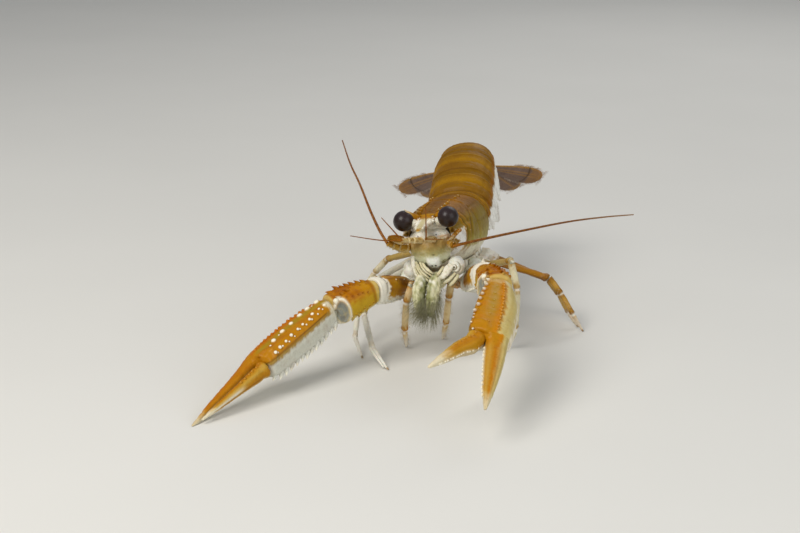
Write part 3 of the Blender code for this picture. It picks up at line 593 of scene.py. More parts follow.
carapace = {
    "length": 50, "middle": np.array([-0.3, 25, 39.6]), "pitch": -8, "lean": -9, "arch": 2.15,
    # distance back from the orbit, half width, top and bottom
    "sections": np.array([
            (0, 8, 9.4, 4.2), (2.5, 9.5, 9.8, 6.3), (6, 10.8, 10.2, 8.4), (12, 12, 10.9, 11),
            (18, 12.8, 11.4, 12.2), (23.5, 13.3, 11.8, 12.5), (26, 12.8, 11.2, 12.5), (28.5, 13.5, 11.9, 12.6),
            (35, 13.8, 12.1, 12.5), (41, 13.5, 12, 11.9), (46, 12.9, 11.7, 10.8), (50, 12.2, 11.2, 9)]),
    "corners": 32,
}
bodyTurn = turn(0, carapace["pitch"], carapace["lean"])
body = (carapace["middle"] - bodyTurn @ np.array([0, carapace["length"] / 2, 0]), bodyTurn)

abdomen = {
    "start": np.array([-0.3, 49.8, 36.1]), "lean": -8,
    # length, pitch, yaw, half width, top and depth of the side plates
    "rings": ((6, 10, 3, 12.3, 11.4, 6), (12.5, 27, 5, 12.8, 11.6, 11.5), (12.5, 24, 6, 12.8, 11.5, 11),
        (12, 5, 7, 12.3, 11, 10.5), (11, -10, 8, 11.3, 9.8, 9.5), (13, -16, 8, 10, 8.2, 7.5)),
    "fanPitch": -50, "fanYaw": 8, "belly": 3.2,
}


def ringAxes():
    axes = []
    origin = abdomen["start"]
    for length, pitch, yaw, *_ in abdomen["rings"]:
        rotation = turn(yaw, pitch, abdomen["lean"])
        axes.append((origin, rotation))
        origin = origin + rotation @ np.array([0, length, 0])
    axes.append((origin, turn(abdomen["fanYaw"], abdomen["fanPitch"], abdomen["lean"])))
    return axes


rings = ringAxes()


def bodyJoint(index):
    before = body[1] if index == 0 else rings[index - 1][1]
    return rings[index][0], unit(before[:, 1] + rings[index][1][:, 1])


def reach(axes, plane, x, z):
    start = place(axes, (x, 0, z))
    return float((plane[0] - start) @ plane[1] / (axes[1][:, 1] @ plane[1]))


def carapaceSize(back):
    return [float(np.interp(back, carapace["sections"][:, 0], carapace["sections"][:, column]))
        for column in (1, 2, 3)]


def onCarapace(back, x, z):
    stretch = reach(body, moved(bodyJoint(0), -gap / 2), x, z) / carapace["length"]
    return place(body, (x, back * stretch, z))


def carapaceTop(back, x):
    wide, top, _ = carapaceSize(back)
    return top * (1 - min(1, abs(x) / wide) ** carapace["arch"]) ** (1 / carapace["arch"])


def carapaceBottom(back, x):
    wide, _, bottom = carapaceSize(back)
    return -bottom * (1 - min(1, abs(x) / wide) ** carapace["arch"]) ** (1 / carapace["arch"])


def sideFace(back, sign):
    top = carapaceBottom(back, 8.8) - 1.3 * gap
    return onCarapace(back, sign * (8.8 + gap), top - 4.9 * 0.56), body[1][:, 0] * sign


# Great claws

claws = {
    "back": 20,
    "L": {"ischium": (12.2, 12, 24.5), "merus": (21, -6.5, 33.5), "carpus": (28, -21, 33.3),
        "palm": (29.6, -52, 25.6), "finger": (34.4, -81, 13.4), "thumb": (15.4, -76, 24), "roll": 15,
        "spread": 0.9, "fingerShape": ((0, 4, 4.3, -3.2), (0.35, 3.3, 3.1, -2.4), (0.7, 2.1, 2, -1.2),
            (0.92, 0.95, 0.9, -0.45), (1, 0.45, 0.45, -0.15)),
        "thumbShape": ((2.9, 3.5), (3, 3.4), (2.3, 2.6), (1.3, 1.4), (0.45, 0.45))},
    "R": {"ischium": (-10.8, 9.5, 22.3), "merus": (-18, -13, 27), "carpus": (-31, -24.5, 22.6),
        "palm": (-47.8, -52.5, 10.4), "finger": (-60.8, -83, 0), "thumb": (-58.6, -81.5, 1.5), "roll": -10,
        "spread": 0, "fingerShape": ((0, 3.1, 4, -3), (0.35, 2.1, 2.7, -1.9), (0.7, 1.4, 1.7, -1.2),
            (0.92, 0.7, 0.7, -0.5), (1, 0.45, 0.45, -0.2)),
        "thumbShape": ((2.5, 2.9), (2.3, 2.7), (1.6, 1.9), (0.9, 1), (0.35, 0.35))},
    "palmShape": ((0, 4.3, 4.4), (0.12, 5.2, 5), (0.5, 6.7, 5.5), (0.85, 6.8, 5.3), (0.994, 6.4, 4.8)),
    "hingeSide": 3.4,
    # Rows of growths, at an angle up from the limb's inner side: kind, first and last place along, number,
    # angles, height, radius, lean. The pale ones come first.
    "palmRows": {
        "L": (("thorn", 1.5, 22, 7, (40, 30), 2.1, 1, 0.55, 2), ("thorn", 24, 31, 4, (28, 24), 1.2, 0.6, 0.6),
            ("thorn", 3, 29.5, 9, (-45, -45), 1.4, 0.8, 0.9), ("knob", 36, 58, 13, (6, 6), 0.6, 0.7, 0),
            ("knob", 3, 31, 17, (98, 106), 0.55, 0.55, 0.5), ("knob", 6, 28, 6, (70, 66), 0.25, 0.45, 0.1, 6)),
        "R": (("knob", 2.4, 26.9, 6, (106, 69), 1, 1.15, 0.15),
            ("knob", 5.5, 29.5, 5, (98, 62), 0.4, 0.42, 0.1, 6),
            ("knob", 3, 30.8, 10, (54, 33), 0.65, 0.66, 0.3, 3),
            ("knob", 5, 30, 9, (44, 29), 0.35, 0.36, 0.3, 3), ("thorn", 3, 34, 13, (-46, -46), 2.3, 1, 0.8),
            ("knob", 4, 33, 16, (128, 112), 0.5, 0.5, 0.4)),
    },
    "paleRows": {"L": 4, "R": 5},
    "carpusRows": (("thorn", 3, 15, 7, (96, 112), 1.7, 0.75, 0.8),
        ("thorn", 6, 14.5, 4, (-45, -45), 1.1, 0.6, 0.7), ("thorn", 10.5, 15.2, 3, (66, 52), 1.7, 0.8, 0.8),
        ("knob", 3, 13.5, 6, (70, 80), 0.3, 0.4, 0.6, 9), ("knob", 4, 14, 6, (40, 45), 0.35, 0.42, 0.4, 9),
        ("knob", 4, 14, 7, (140, 140), 0.5, 0.5, 0.4, 8), ("knob", 3, 12, 6, (-22, -28), 0.45, 0.45, 0.3, 5)),
    "merusRows": (("thorn", 6, 20, 6, (128, 132), 1.1, 0.6, 0.9), ("thorn", 8, 21, 3, (50, 48), 0.8, 0.5, 0.9),
        ("thorn", 5, 20, 7, (-48, -48), 1, 0.55, 0.9), ("thorn", 20.5, 20.6, 1, (88, 88), 2.2, 0.9, 1.1)),
}


def paintPalm(piece, guide, sign, long):
    points, along, angle, *_ = survey(piece, guide, sign)
    angle = np.where(angle < -140, angle + 360, angle)
    grain, fine, tips = wobble(points, 5, 3), wobble(points, 1.6, 4), tipwardOf(piece)
    last = guide["at"][-1]
    finger, near = fade(long + 1, long + 7, along), fade(long + 1, long - 3, along)
    line = (24 - 6 * fade(0, long, along)) if sign < 0 else np.full(len(along), 14)
    if sign < 0:
        colors = layered("#c27a06",
            ("#a98a2c", bump(angle + grain * 6, 84, 15) * near * 0.75),
            ("#b4600a", bump(angle, 60, 12) * fade(-0.6, 1, grain) * 0.7),
            ("#c9650a", bump(angle, 114, 9) * 0.8),
            ("#bfa05c", fade(128, 160, angle + fine * 5) * 0.85))
    else:
        colors = layered("#c07c10",
            ("#a8853a", bump(angle + grain * 5, 72, 18) * fade(2, 6, along) * fade(long - 4, long - 12, along)
                * 0.6),
            ("#cb760c", bump(angle, 44, 12) * fade(-0.8, 0.8, grain) * 0.7),
            ("#cf7c0e", bump(angle + fine * 2, 100, 11) * 0.9),
            ("#cdb88a", fade(108, 122, angle + 26 * finger + fine * 5)),
            ("#b89a66", bump(angle + fine * 3, 134, 9) * 0.6),
            ("#efe6d6", fade(146, 168, angle + fine * 4) * 0.9),
            ("#c89a62", finger * bump(angle, 48, 18) * 0.7))
    colors = layered(colors,
        ("#a8804c", fade(line + 2, line - 3, angle + fine * 2)),
        ("#d8d8cc", fade(line - 6, line - 16, angle + fine * 3) * 0.95),
        ("#b9b5a2", bump(angle + fine * 6, -12, 12) * near * 0.5),
        ("#cdc3a4", fade(-55, -85, angle) * 0.85),
        ("#5f340a", bump(angle, line + 1, 2.2) * fade(2, 6, along) * fade(long + 4, long - 2, along) * 0.8),
        # fingers: a darker middle, then a pale tip
        ("#bd680a", finger * bump(angle, 92, 26) * 0.7),
        ("#e6ddc8", finger * bump(angle, 6, 16) * 0.8),
        ("#d8c8ac", fade(last - 8, last - 2, along + fine * 0.8) * 0.85),
        ("#d9d2be", fade(3.8, 2.2, along + fine * 0.5) * fade(-20, 0, angle)
            * (fade(84, 60, angle) if sign < 0 else 0.35) * 0.9),
        ("#f4eedd", fade(0.3, 0.75, tips)))
    finish(piece, colors, "clawShell", "claw", "cheliped_%s_propodus" % ("L" if sign > 0 else "R"))


def makePalm(label, sign, joint):
    values = claws[label]
    carpus, palm, finger, thumb = (np.array(values[key]) for key in ("carpus", "palm", "finger", "thumb"))
    line, sizes = [], []
    for part, wide, high in claws["palmShape"]:
        spread = values["spread"] * min(1, part * 4)
        line.append(carpus + (palm - carpus) * part)
        sizes.append((wide + spread, high, -spread * sign, 0))
    for part, wide, high, aside in values["fingerShape"]:
        line.append(palm + (finger - palm) * part)
        sizes.append((wide, high, aside * sign, 0))
    end = (np.zeros(3), upward) if finger[2] == 0 else None
    piece, guide = limbForm("greatClawPalm" + label, line, sizes, upward, corners=20, squareness=2.7, step=2,
        roll=values["roll"], start=moved(joint, gap / 2), end=end, lip=0.88)
    long = float(np.linalg.norm(palm - carpus))
    points, along, angle, *_ = survey(piece, guide, sign)
    last = guide["at"][-1]
    onPalm, onFinger = fade(1, 5, along) * fade(long + 1, long - 3, along), fade(long + 2, long + 6, along)
    heights = (0.32 * bump(angle, 45 if sign < 0 else 26, 7) + 0.35 * bump(angle, -46, 7)
        - 0.35 * bump(angle, -8, 18)) * onPalm
    heights += (0.3 * bump(angle, 120, 7) if sign < 0 else 0.42 * bump(angle, 101, 6)
        - 0.25 * bump(angle, 76, 14)) * (onPalm + 0.4 * onFinger)
    heights -= 0.18 * (bump(angle, 65, 9) + bump(angle, 118, 9)) * onFinger * fade(last - 4, last - 12, along)
    heights += 0.07 * wobble(points, 1.8, 5) * fade(0.5, 2, along)
    # the curled rim round the moving finger's hinge
    hinge = np.hypot((along - long + 1.6) / 2.4, (angle - 40) / 26)
    heights += 0.4 * bump(hinge, 1.15, 0.18) - 0.3 * fade(0.9, 0.6, hinge)
    pushOut(piece, heights)
    tree, rows, pale = treeOf(piece), claws["palmRows"][label], claws["paleRows"][label]
    joinInto(piece, spineRows(tree, guide, sign, rows[:pale]) + spineRows(tree, guide, sign, rows[pale:], 0.42))
    paintPalm(piece, guide, sign, long)
    return palm, unit(palm - carpus), values["roll"], thumb


def makeDactyl(label, sign, palm, way, roll, thumb):
    high = squareTo(upward, way)
    a = math.radians(roll)
    aside = np.cross(way, high) * math.cos(a) + high * math.sin(a)
    hinge = palm + aside * sign * claws["hingeSide"]
    toTip = thumb - hinge
    line = [hinge, hinge + way * 2.5 + toTip * 0.05, hinge + toTip * 0.4, hinge + toTip * 0.8, thumb]
    piece, guide = limbForm("movingFinger" + label, line, claws[label]["thumbShape"], upward, corners=16,
        squareness=2.4, step=1.8, roll=roll, start=(palm + way * gap, way), lip=0.8)
    points, along, angle, *_ = survey(piece, guide, sign)
    last = guide["at"][-1]
    heights = (-0.2 * (bump(angle, 60, 9) + bump(angle, 120, 9)) * fade(3, 6, along)
        * fade(last - 3, last - 10, along))
    heights += 0.3 * bump(along, 1.6, 0.9) - 0.25 * bump(along, 3.4, 0.8) + 0.06 * wobble(points, 1.5, 8)
    pushOut(piece, heights)
    tree = treeOf(piece)
    teeth = spineRow(tree, guide, sign, "knob", 5, last - 4, 14 if sign > 0 else 5, (180, 180), 0.5, 0.5, 0)
    joinInto(piece, teeth + spineRow(tree, guide, sign, "knob", 2, 12, 6, (85, 80), 0.4, 0.5, 0.5, pale=0.42))
    points, along, angle, *_ = survey(piece, guide, sign)
    fine = wobble(points, 1.6, 9)
    colors = layered("#c88a2c" if sign > 0 else "#c07a10",
        ("#bb6c0c", bump(angle, 100, 30) * 0.7),
        ("#c9a468", bump(angle + fine * 4, 40, 25) * 0.6),
        ("#e6e0cc", (bump(angle, 0, 26) * 0.9 * fade(10, 16, along) if sign < 0
                else bump(angle, 180, 14) * 0.5 * fade(4, 9, along))),
        ("#d2ccb8", fade(-35, -60, angle) * 0.7),
        ("#7a4410", bump(angle, -28, 6) * 0.6 * fade(3, 6, along)),
        ("#e4dac2", fade(last - (14 if sign > 0 else 8), last - 3, along + fine * 0.7) * 0.9),
        ("#f4eedd", fade(0.3, 0.75, tipwardOf(piece)) * 0.9))
    finish(piece, colors, "clawShell", "claw_finger", "cheliped_%s_dactyl" % label)


def softOval(along, angle, last):
    # How far points lie from the soft skin at the wrist's bend, whose edge is at 1.
    return np.hypot((along - last + 2.6) / 2.2, np.radians(angle + 6) * 5.4 / 3.9)


def makeCarpus(label, sign, ends, joints):
    start, end = ends
    sizes = [(3.9, 4.3), (5.2, 5.4), (6, 6), (4.7, 4.9)]
    line = [start + (end - start) * part for part in (0, 0.35, 0.75, 1)]
    piece, guide = limbForm("clawWrist" + label, line, sizes, upward, corners=20, squareness=2.5, step=1.6,
        start=moved(joints[0], gap / 2), end=moved(joints[1], -gap / 2), lip=0.86)
    points, along, angle, *_ = survey(piece, guide, sign)
    last = guide["at"][-1]
    oval = softOval(along, angle, last)
    heights = 0.07 * wobble(points, 1.7, 12) - 0.3 * bump(along, last - 2.6, 0.6) * fade(1.3, 1.8, oval)
    heights += (0.25 * bump(along, last - 1.2, 0.8)
        - 0.3 * bump(angle, 64, 9) * bump(along, last * 0.5, last * 0.3))
    heights += 0.4 * bump(oval, 1.22, 0.17) - 0.9 * fade(1.06, 0.75, oval)
    pushOut(piece, heights)
    tree = treeOf(piece)
    hinge = spineRow(tree, guide, sign, "knob", last - 1.8, last - 1.8, 1, (44, 44), 1.3, 1.15, 0.2, 0)
    joinInto(piece, hinge + spineRows(tree, guide, sign, claws["carpusRows"], 0.45))
    points, along, angle, *_ = survey(piece, guide, sign)
    oval = softOval(along, angle, last)
    grain, fine, tips = wobble(points, 4, 13), wobble(points, 1.5, 14), tipwardOf(piece)
    colors = layered("#bd7206",
        ("#9c4c04", fade(-0.3, 1.2, grain + bump(angle, 95, 35)) * 0.6),
        ("#c68a14", bump(along, 3.4, 3) * 0.6),
        ("#cc9c34", fade(30, 4, angle + fine * 6 - 0.2 * (along - 6)) * fade(-100, -60, angle) * 0.95),
        ("#cbae6a", fade(135, 165, np.abs(angle) + fine * 5) * 0.8),
        ("#e4dcba", fade(-30, -58, angle + fine * 6) * 0.85),
        ("#dcc08a", fade(last - 1.4, last - 0.5, along) * 0.7),
        ("#8a4a0a", bump(along, 1.6, 0.5) * 0.6),
        ("#d8c08c", fade(1.1, 0.3, along) * 0.7),
        ("#8c4604", fade(0.08, 0.3, tips) * fade(0.6, 0.44, tips) * 0.5),
        ("#8b8d83", fade(1.1, 0.95, oval)),
        ("#b9a888", bump(wobble(points, 3.2, 15), 0.25, 0.22) * fade(1, 0.7, oval) * 0.7),
        ("#efeadb", bump(oval, 1.27, 0.2)),
        ("#f1ead6", fade(0.5, 0.7, tips)))
    finish(piece, colors, "clawShell", "claw", "cheliped_%s_carpus" % label)


def makeMerus(label, sign, ends, joints):
    start, end = ends
    line = [start + (end - start) * part for part in (0, 0.2, 0.7, 1)]
    sizes = [(3.1, 3.3), (3.7, 4.1), (4.6, 5.1), (4, 4.6)]
    piece, guide = limbForm("clawArm" + label, line, sizes, upward, corners=20, squareness=2.5, step=2,
        start=moved(joints[0], gap / 2), end=moved(joints[1], -gap / 2), lip=0.86)
    points, along, *_ = survey(piece, guide)
    last = guide["at"][-1]
    pushOut(piece, 0.07 * wobble(points, 1.9, 22) - 0.35 * bump(along, last - 3, 0.6)
        + 0.3 * bump(along, last - 1.4, 0.9) - 0.25 * bump(along, 2.4, 0.6))
    joinInto(piece, spineRows(treeOf(piece), guide, sign, claws["merusRows"]))
    points, along, angle, *_ = survey(piece, guide, sign)
    streaks = wobble(np.stack([along * 0.3, angle / 15, 0 * along], axis=1), 1.9, 24)
    fine = wobble(points, 1.5, 26)
    colors = layered("#b67408",
        ("#6f3f06", fade(0.1, 1.2, streaks) * 0.75),
        ("#8f4e06", fade(100, 118, angle) * fade(160, 140, angle) * 0.7),
        ("#c58a20", bump(streaks, -0.8, 0.5) * 0.6),
        ("#e4e2d6", fade(-14, -40, angle + fine * 6)),
        ("#e4e2d6", fade(156, 178, np.abs(angle) + fine * 5) * 0.8),
        ("#eeeadd", fade(last - 4, last - 3.1, along + fine * 0.4 + 1.2 * bump(angle, 20, 40)) * 0.95),
        ("#3f3426", bump(along, last - 3, 0.3) * fade(-20, 10, angle) * 0.7),
        ("#efece2", fade(4.5, 2, along + fine * 0.8) * 0.9),
        ("#f2ecda", fade(0.3, 0.8, tipwardOf(piece)) * 0.8))
    finish(piece, colors, "clawShell", "claw", "cheliped_%s_merus" % label)


def makeClawBase(label, sign, root, ischium, joint):
    elbow = root[0] + body[1] @ np.array([sign * 3.2, -1, -1])
    line = [root[0], elbow, (elbow + ischium) / 2, ischium]
    piece, guide = limbForm("clawRoot" + label, line, [(2.7, 2.4), (3.4, 3.4), (3.9, 4), (3.5, 3.6)], upward,
        corners=16, step=1.6, start=root, end=moved(joint, -gap / 2), lip=0.85)
    points, along, *_ = survey(piece, guide)
    pushOut(piece, 0.08 * wobble(points, 2, 31) - 0.35 * bump(along, 4.2, 0.5) - 0.3 * bump(along, 8.5, 0.5))
    points = readPoints(piece)
    colors = layered("#e9eadc",
        ("#bcc0a0", fade(0.3, 1.2, wobble(points, 4, 32)) * 0.5),
        ("#f2f0e8", fade(0, 1, wobble(points, 3, 33)) * 0.7))
    finish(piece, colors, "paleShell", "claw", "cheliped_%s_base" % label)


def makeSocket(name, joint, way, radius, slot):
    # The soft skin seen in a joint: a short ribbed plug inside both rims.
    line = [joint + way * spot for spot in (-1.6, -0.5, 0.5, 1.6)]
    piece, _ = limbForm(name, line, [(radius * size, radius * size) for size in (0.86, 0.93, 0.93, 0.86)],
        upward, corners=16, step=0.5, levels=1)
    colors = layered("#a9a694", ("#e4e0d0", fade(0, 1, wobble(readPoints(piece), 1.5, 40))))
    finish(piece, colors, "paleShell", slot)


def makeClaw(label, sign):
    values = claws[label]
    ischium, merus, carpus, palm = (np.array(values[key]) for key in ("ischium", "merus", "carpus", "palm"))
    root = sideFace(claws["back"], sign)
    bends = (root[0], ischium, merus, carpus, palm)
    joints = [bisector(*bends[number:number + 3]) for number in range(3)]
    makeClawBase(label, sign, root, ischium, joints[0])
    makeMerus(label, sign, (ischium, merus), joints[:2])
    makeCarpus(label, sign, (merus, carpus), joints[1:])
    makeDactyl(label, sign, *makePalm(label, sign, joints[2]))
    for number, (joint, radius) in enumerate(zip(joints, (3, 3.6, 4.1))):
        makeSocket("clawJoint%d%s" % (number + 1, label), joint[0], joint[1], radius, "claw")


for label, sign in hands:
    makeClaw(label, sign)
print("claws done")


# Walking legs

legs = {
    # place along the carapace, then end of the ischium, knee, end of the carpus, of the propodus, foot
    "joints": {
        ("L", 2): (27, ((5.6, 19.5, 20.8), (6.5, 5, 27), (5.4, 5.5, 20), (3.4, 11, 8.5), (1.2, 17.8, 0))),
        ("R", 2): (27, ((-3.2, 18.5, 19.4), (-6.8, -1, 26.8), (-8.6, -2.2, 19.6), (-9.8, 0.6, 8.2),
            (-10.2, 6.4, 0))),
        ("L", 3): (33.5, ((15, 30.5, 26), (26.6, 13, 33.6), (29.6, 11, 23.5), (29.2, 10.5, 8.6),
            (26, 14.5, 0))),
        ("R", 3): (33.5, ((-12.8, 27.5, 24.2), (-24.6, 6.5, 20.6), (-24.2, -2.5, 14), (-18.6, -12.5, 5.4),
            (-11.4, -18.6, 0))),
        ("L", 4): (39.5, ((16.5, 38, 25.2), (37, 41, 19.4), (42, 39.6, 13.6), (47, 37, 6.6), (50.8, 38, 0))),
        ("R", 4): (39.5, ((-14, 36, 24.8), (-29.5, 18, 18.2), (-29.6, 10, 13), (-28, -1, 4.6), (-23.2, -9, 0))),
        ("L", 5): (45, ((16, 47, 23.6), (35.6, 47.8, 16.6), (40.4, 45.8, 11.4), (44.6, 43.4, 5),
            (48.3, 42.6, 0))),
        ("R", 5): (45, ((-13, 48.5, 25), (-29, 54, 18.4), (-34.5, 55.5, 12), (-38.6, 54.5, 4.6),
            (-41, 51.5, 0))),
    },
    "upperSizes": ((1.8, 1.8), (1.9, 1.9), (1.45, 1.6), (1.3, 1.75), (1.15, 1.4)),
    "lowerSizes": ((1.15, 1.3), (1.2, 1.45), (1, 1.15), (1.05, 1.35), (0.85, 1.1), (0.35, 0.35)),
    # tone of the long upper length, of the lower ones, of the patches at the joints, and how strong
    "looks": {
        ("L", 2): ("#c88e54", "#e2c8a6", "#b9742c", 1), ("R", 2): ("#c88a4a", "#e2c8a6", "#b9742c", 1),
        ("L", 3): ("#c9a878", "#d6ccb0", "#a8702c", 0.8), ("R", 3): ("#d3d0c2", "#dedace", "#b08c66", 0.35),
        ("L", 4): ("#a86c26", "#bb8a50", "#8a5418", 0.9), ("R", 4): ("#ccc8ba", "#d9d6c8", "#a07c58", 0.35),
        ("L", 5): ("#a86e2a", "#c29a68", "#8a5418", 0.9), ("R", 5): ("#b09062", "#d8cdb4", "#93602a", 0.7),
    },
    # hair rows of each pair: number of hairs and their length
    "hairs": {2: (230, 1.9), 3: (110, 1.2), 4: (90, 1.2), 5: (90, 1.1)},
}


def paintLeg(piece, guide, joints, look, upper):
    points, along, *_ = survey(piece, guide)
    grain, fine = wobble(points, 3.5, 51), wobble(points, 1.2, 52)
    base, low, patch, strength = look
    colors = layered(base if upper else low, (patch, fade(0.6, 1.4, grain) * 0.3 * strength))
    if upper:
        colors = layered(colors, ("#efebe0", fade(joints[1] + 1.5, joints[1] - 2.5, along + grain * 0.6)
                * 0.85))
    for joint, size in joints[2:]:
        colors = layered(colors, (patch, bump(along + fine * 0.5 + grain * 0.4, joint, size) * strength))
    for joint in joints[0]:
        colors = layered(colors, ("#f3eee2", bump(along, joint, 0.35) * 0.9))
    if not upper:
        last = guide["at"][-1]
        colors = layered(colors, ("#f1ede3", fade(last - 9, last - 5, along) * 0.6),
            ("#8a6036", fade(last - 1.4, last - 0.4, along) * 0.8))
    finish(piece, colors, "legShell", "leg")


def makeLeg(label, sign, number):
    back, joints = legs["joints"][label, number]
    ischium, knee, carpus, propodus, foot = (np.array(point) for point in joints)
    root = sideFace(back, sign)
    out, down = (2.4, 2.4) if number == 2 else (3.2, 1)
    elbow = root[0] + body[1] @ np.array([sign * out, -0.4, -down])
    across = np.cross(unit(knee - elbow), unit(foot - knee))
    across = unit(across) if np.linalg.norm(across) > 0.1 else np.array([1, 0, 0])
    kneeJoint = bisector(ischium, knee, carpus)
    look = legs["looks"][label, number]
    hairs, long = legs["hairs"][number]
    name = "walkingLeg%d%s" % (number, label)

    line = [root[0], elbow, ischium, ischium + (knee - ischium) * 0.5, knee]
    upper, guide = limbForm(name + "Upper", line, legs["upperSizes"], across, corners=12, step=1.5,
        start=root, end=moved(kneeJoint, -gap / 2), lip=0.8)
    first = float(np.linalg.norm(elbow - root[0]))
    second = first + float(np.linalg.norm(ischium - elbow))
    last = guide["at"][-1]
    points, along, *_ = survey(upper, guide)
    heights = 0.05 * wobble(points, 1.6, 54)
    for joint, wide in ((first, 0.35), (second, 0.4)):
        heights += 0.22 * bump(along, joint - 1.1, 0.7) - 0.42 * bump(along, joint, wide)
    heights += 0.22 * bump(along, last - 1, 0.8) - 0.12 * bump(along, last - 2.8, 0.5)
    pushOut(upper, heights)
    paintLeg(upper, guide, ((first, second), second, (last - 0.8, 1.3), (second + 2.5, 2)), look, True)
    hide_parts("leg_%d_%s_upper" % (number, label))
    hairRow(name + "UpperHair", treeOf(upper), guide, hairs // 4, (second, last - 1), (90, 270), (0.4, 0.9),
        (long * 0.4, long * 0.8), 0.08, "paleHair", "leg")

    line = [knee, knee + (carpus - knee) * 0.6, carpus, (carpus + propodus) / 2, propodus, foot]
    lower, guide = limbForm(name + "Lower", line, legs["lowerSizes"], across, corners=12, step=1.3,
        start=moved(kneeJoint, gap / 2), end=(np.zeros(3), upward), lip=0.8)
    wrist = float(np.linalg.norm(carpus - knee))
    ankle = wrist + float(np.linalg.norm(propodus - carpus))
    points, along, *_ = survey(lower, guide)
    heights = 0.04 * wobble(points, 1.5, 55)
    for joint in (wrist, ankle):
        heights += 0.16 * bump(along, joint - 1, 0.7) - 0.34 * bump(along, joint, 0.35)
    pushOut(lower, heights * fade(0.2, 1.5, readPoints(lower)[:, 2]))
    if number < 4:
        way = unit(foot - propodus)
        aside = np.cross(way, across)
        aside = aside if aside[1] < 0 else -aside
        finger, _ = limbForm("pincer", [propodus - way * 2, propodus + aside * 1 + way,
                foot + aside * 1.1 - way * 1.3],
            [(0.5, 0.5), (0.65, 0.65), (0.3, 0.3)], across, corners=10, step=1.3, levels=1)
        joinInto(lower, [finger])
    paintLeg(lower, guide, ((wrist, ankle), 0, (0.6, 1.2), (wrist - 0.6, 1.6), (ankle - 1, 1.2)), look, False)
    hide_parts("leg_%d_%s_lower" % (number, label))
    hairRow(name + "LowerHair", treeOf(lower), guide, hairs, (wrist * 0.4, guide["at"][-1] - 1.5),
        (80, 100, 260, 280, 180), (0.4, 0.9), (long * 0.5, long * 1.15), 0.08, "paleHair", "leg", (0, 0, -0.12))
    makeSocket(name + "Knee", kneeJoint[0], kneeJoint[1], 1, "leg")


for number in (2, 3, 4, 5):
    for label, sign in hands:
        makeLeg(label, sign, number)
print("legs done")


# Carapace

shield = {
    # distance back from the orbit, distance from the middle, length
    "backSpines": ((3, 3.6, 2.6), (7.5, 3.9, 2.2), (12.5, 4.1, 1.7), (17.5, 4.3, 1.2), (31, 4.6, 1.1),
        (36, 4.8, 0.9)),
    "sideSpines": ((1.2, 8.5, 2.6, 2.8), (9, 11.2, 2, 1.3), (13.5, 11.9, 1, 1.1)),
    "neckGroove": 25.3, "grooveDepth": 0.7,
}


def carapaceRing(back, size=1):
    wide, top, bottom = carapaceSize(back)
    ring = []
    for angle in roundAngles(carapace["corners"]):
        x = wide * power(math.sin(angle), 2 / carapace["arch"]) * size
        z = power(math.cos(angle), 2 / carapace["arch"])
        ring.append(onCarapace(back, x, z * (top if z > 0 else bottom) * size))
    return np.array(ring)


def shieldMap(points):
    # Where points lie on the carapace, and how far from its neck groove and from the arcs behind the orbit.
    x, back, z = unplace(body, points).T
    lean = np.degrees(np.arctan2(np.abs(x), z))
    neck = shield["neckGroove"] - 10.5 * fade(28, 92, lean) + 0.5 * wobble(points, 12, 61)
    return x, back, z, lean, neck, back - 3.4 * np.cos(np.radians(lean - 84) * 1.6)


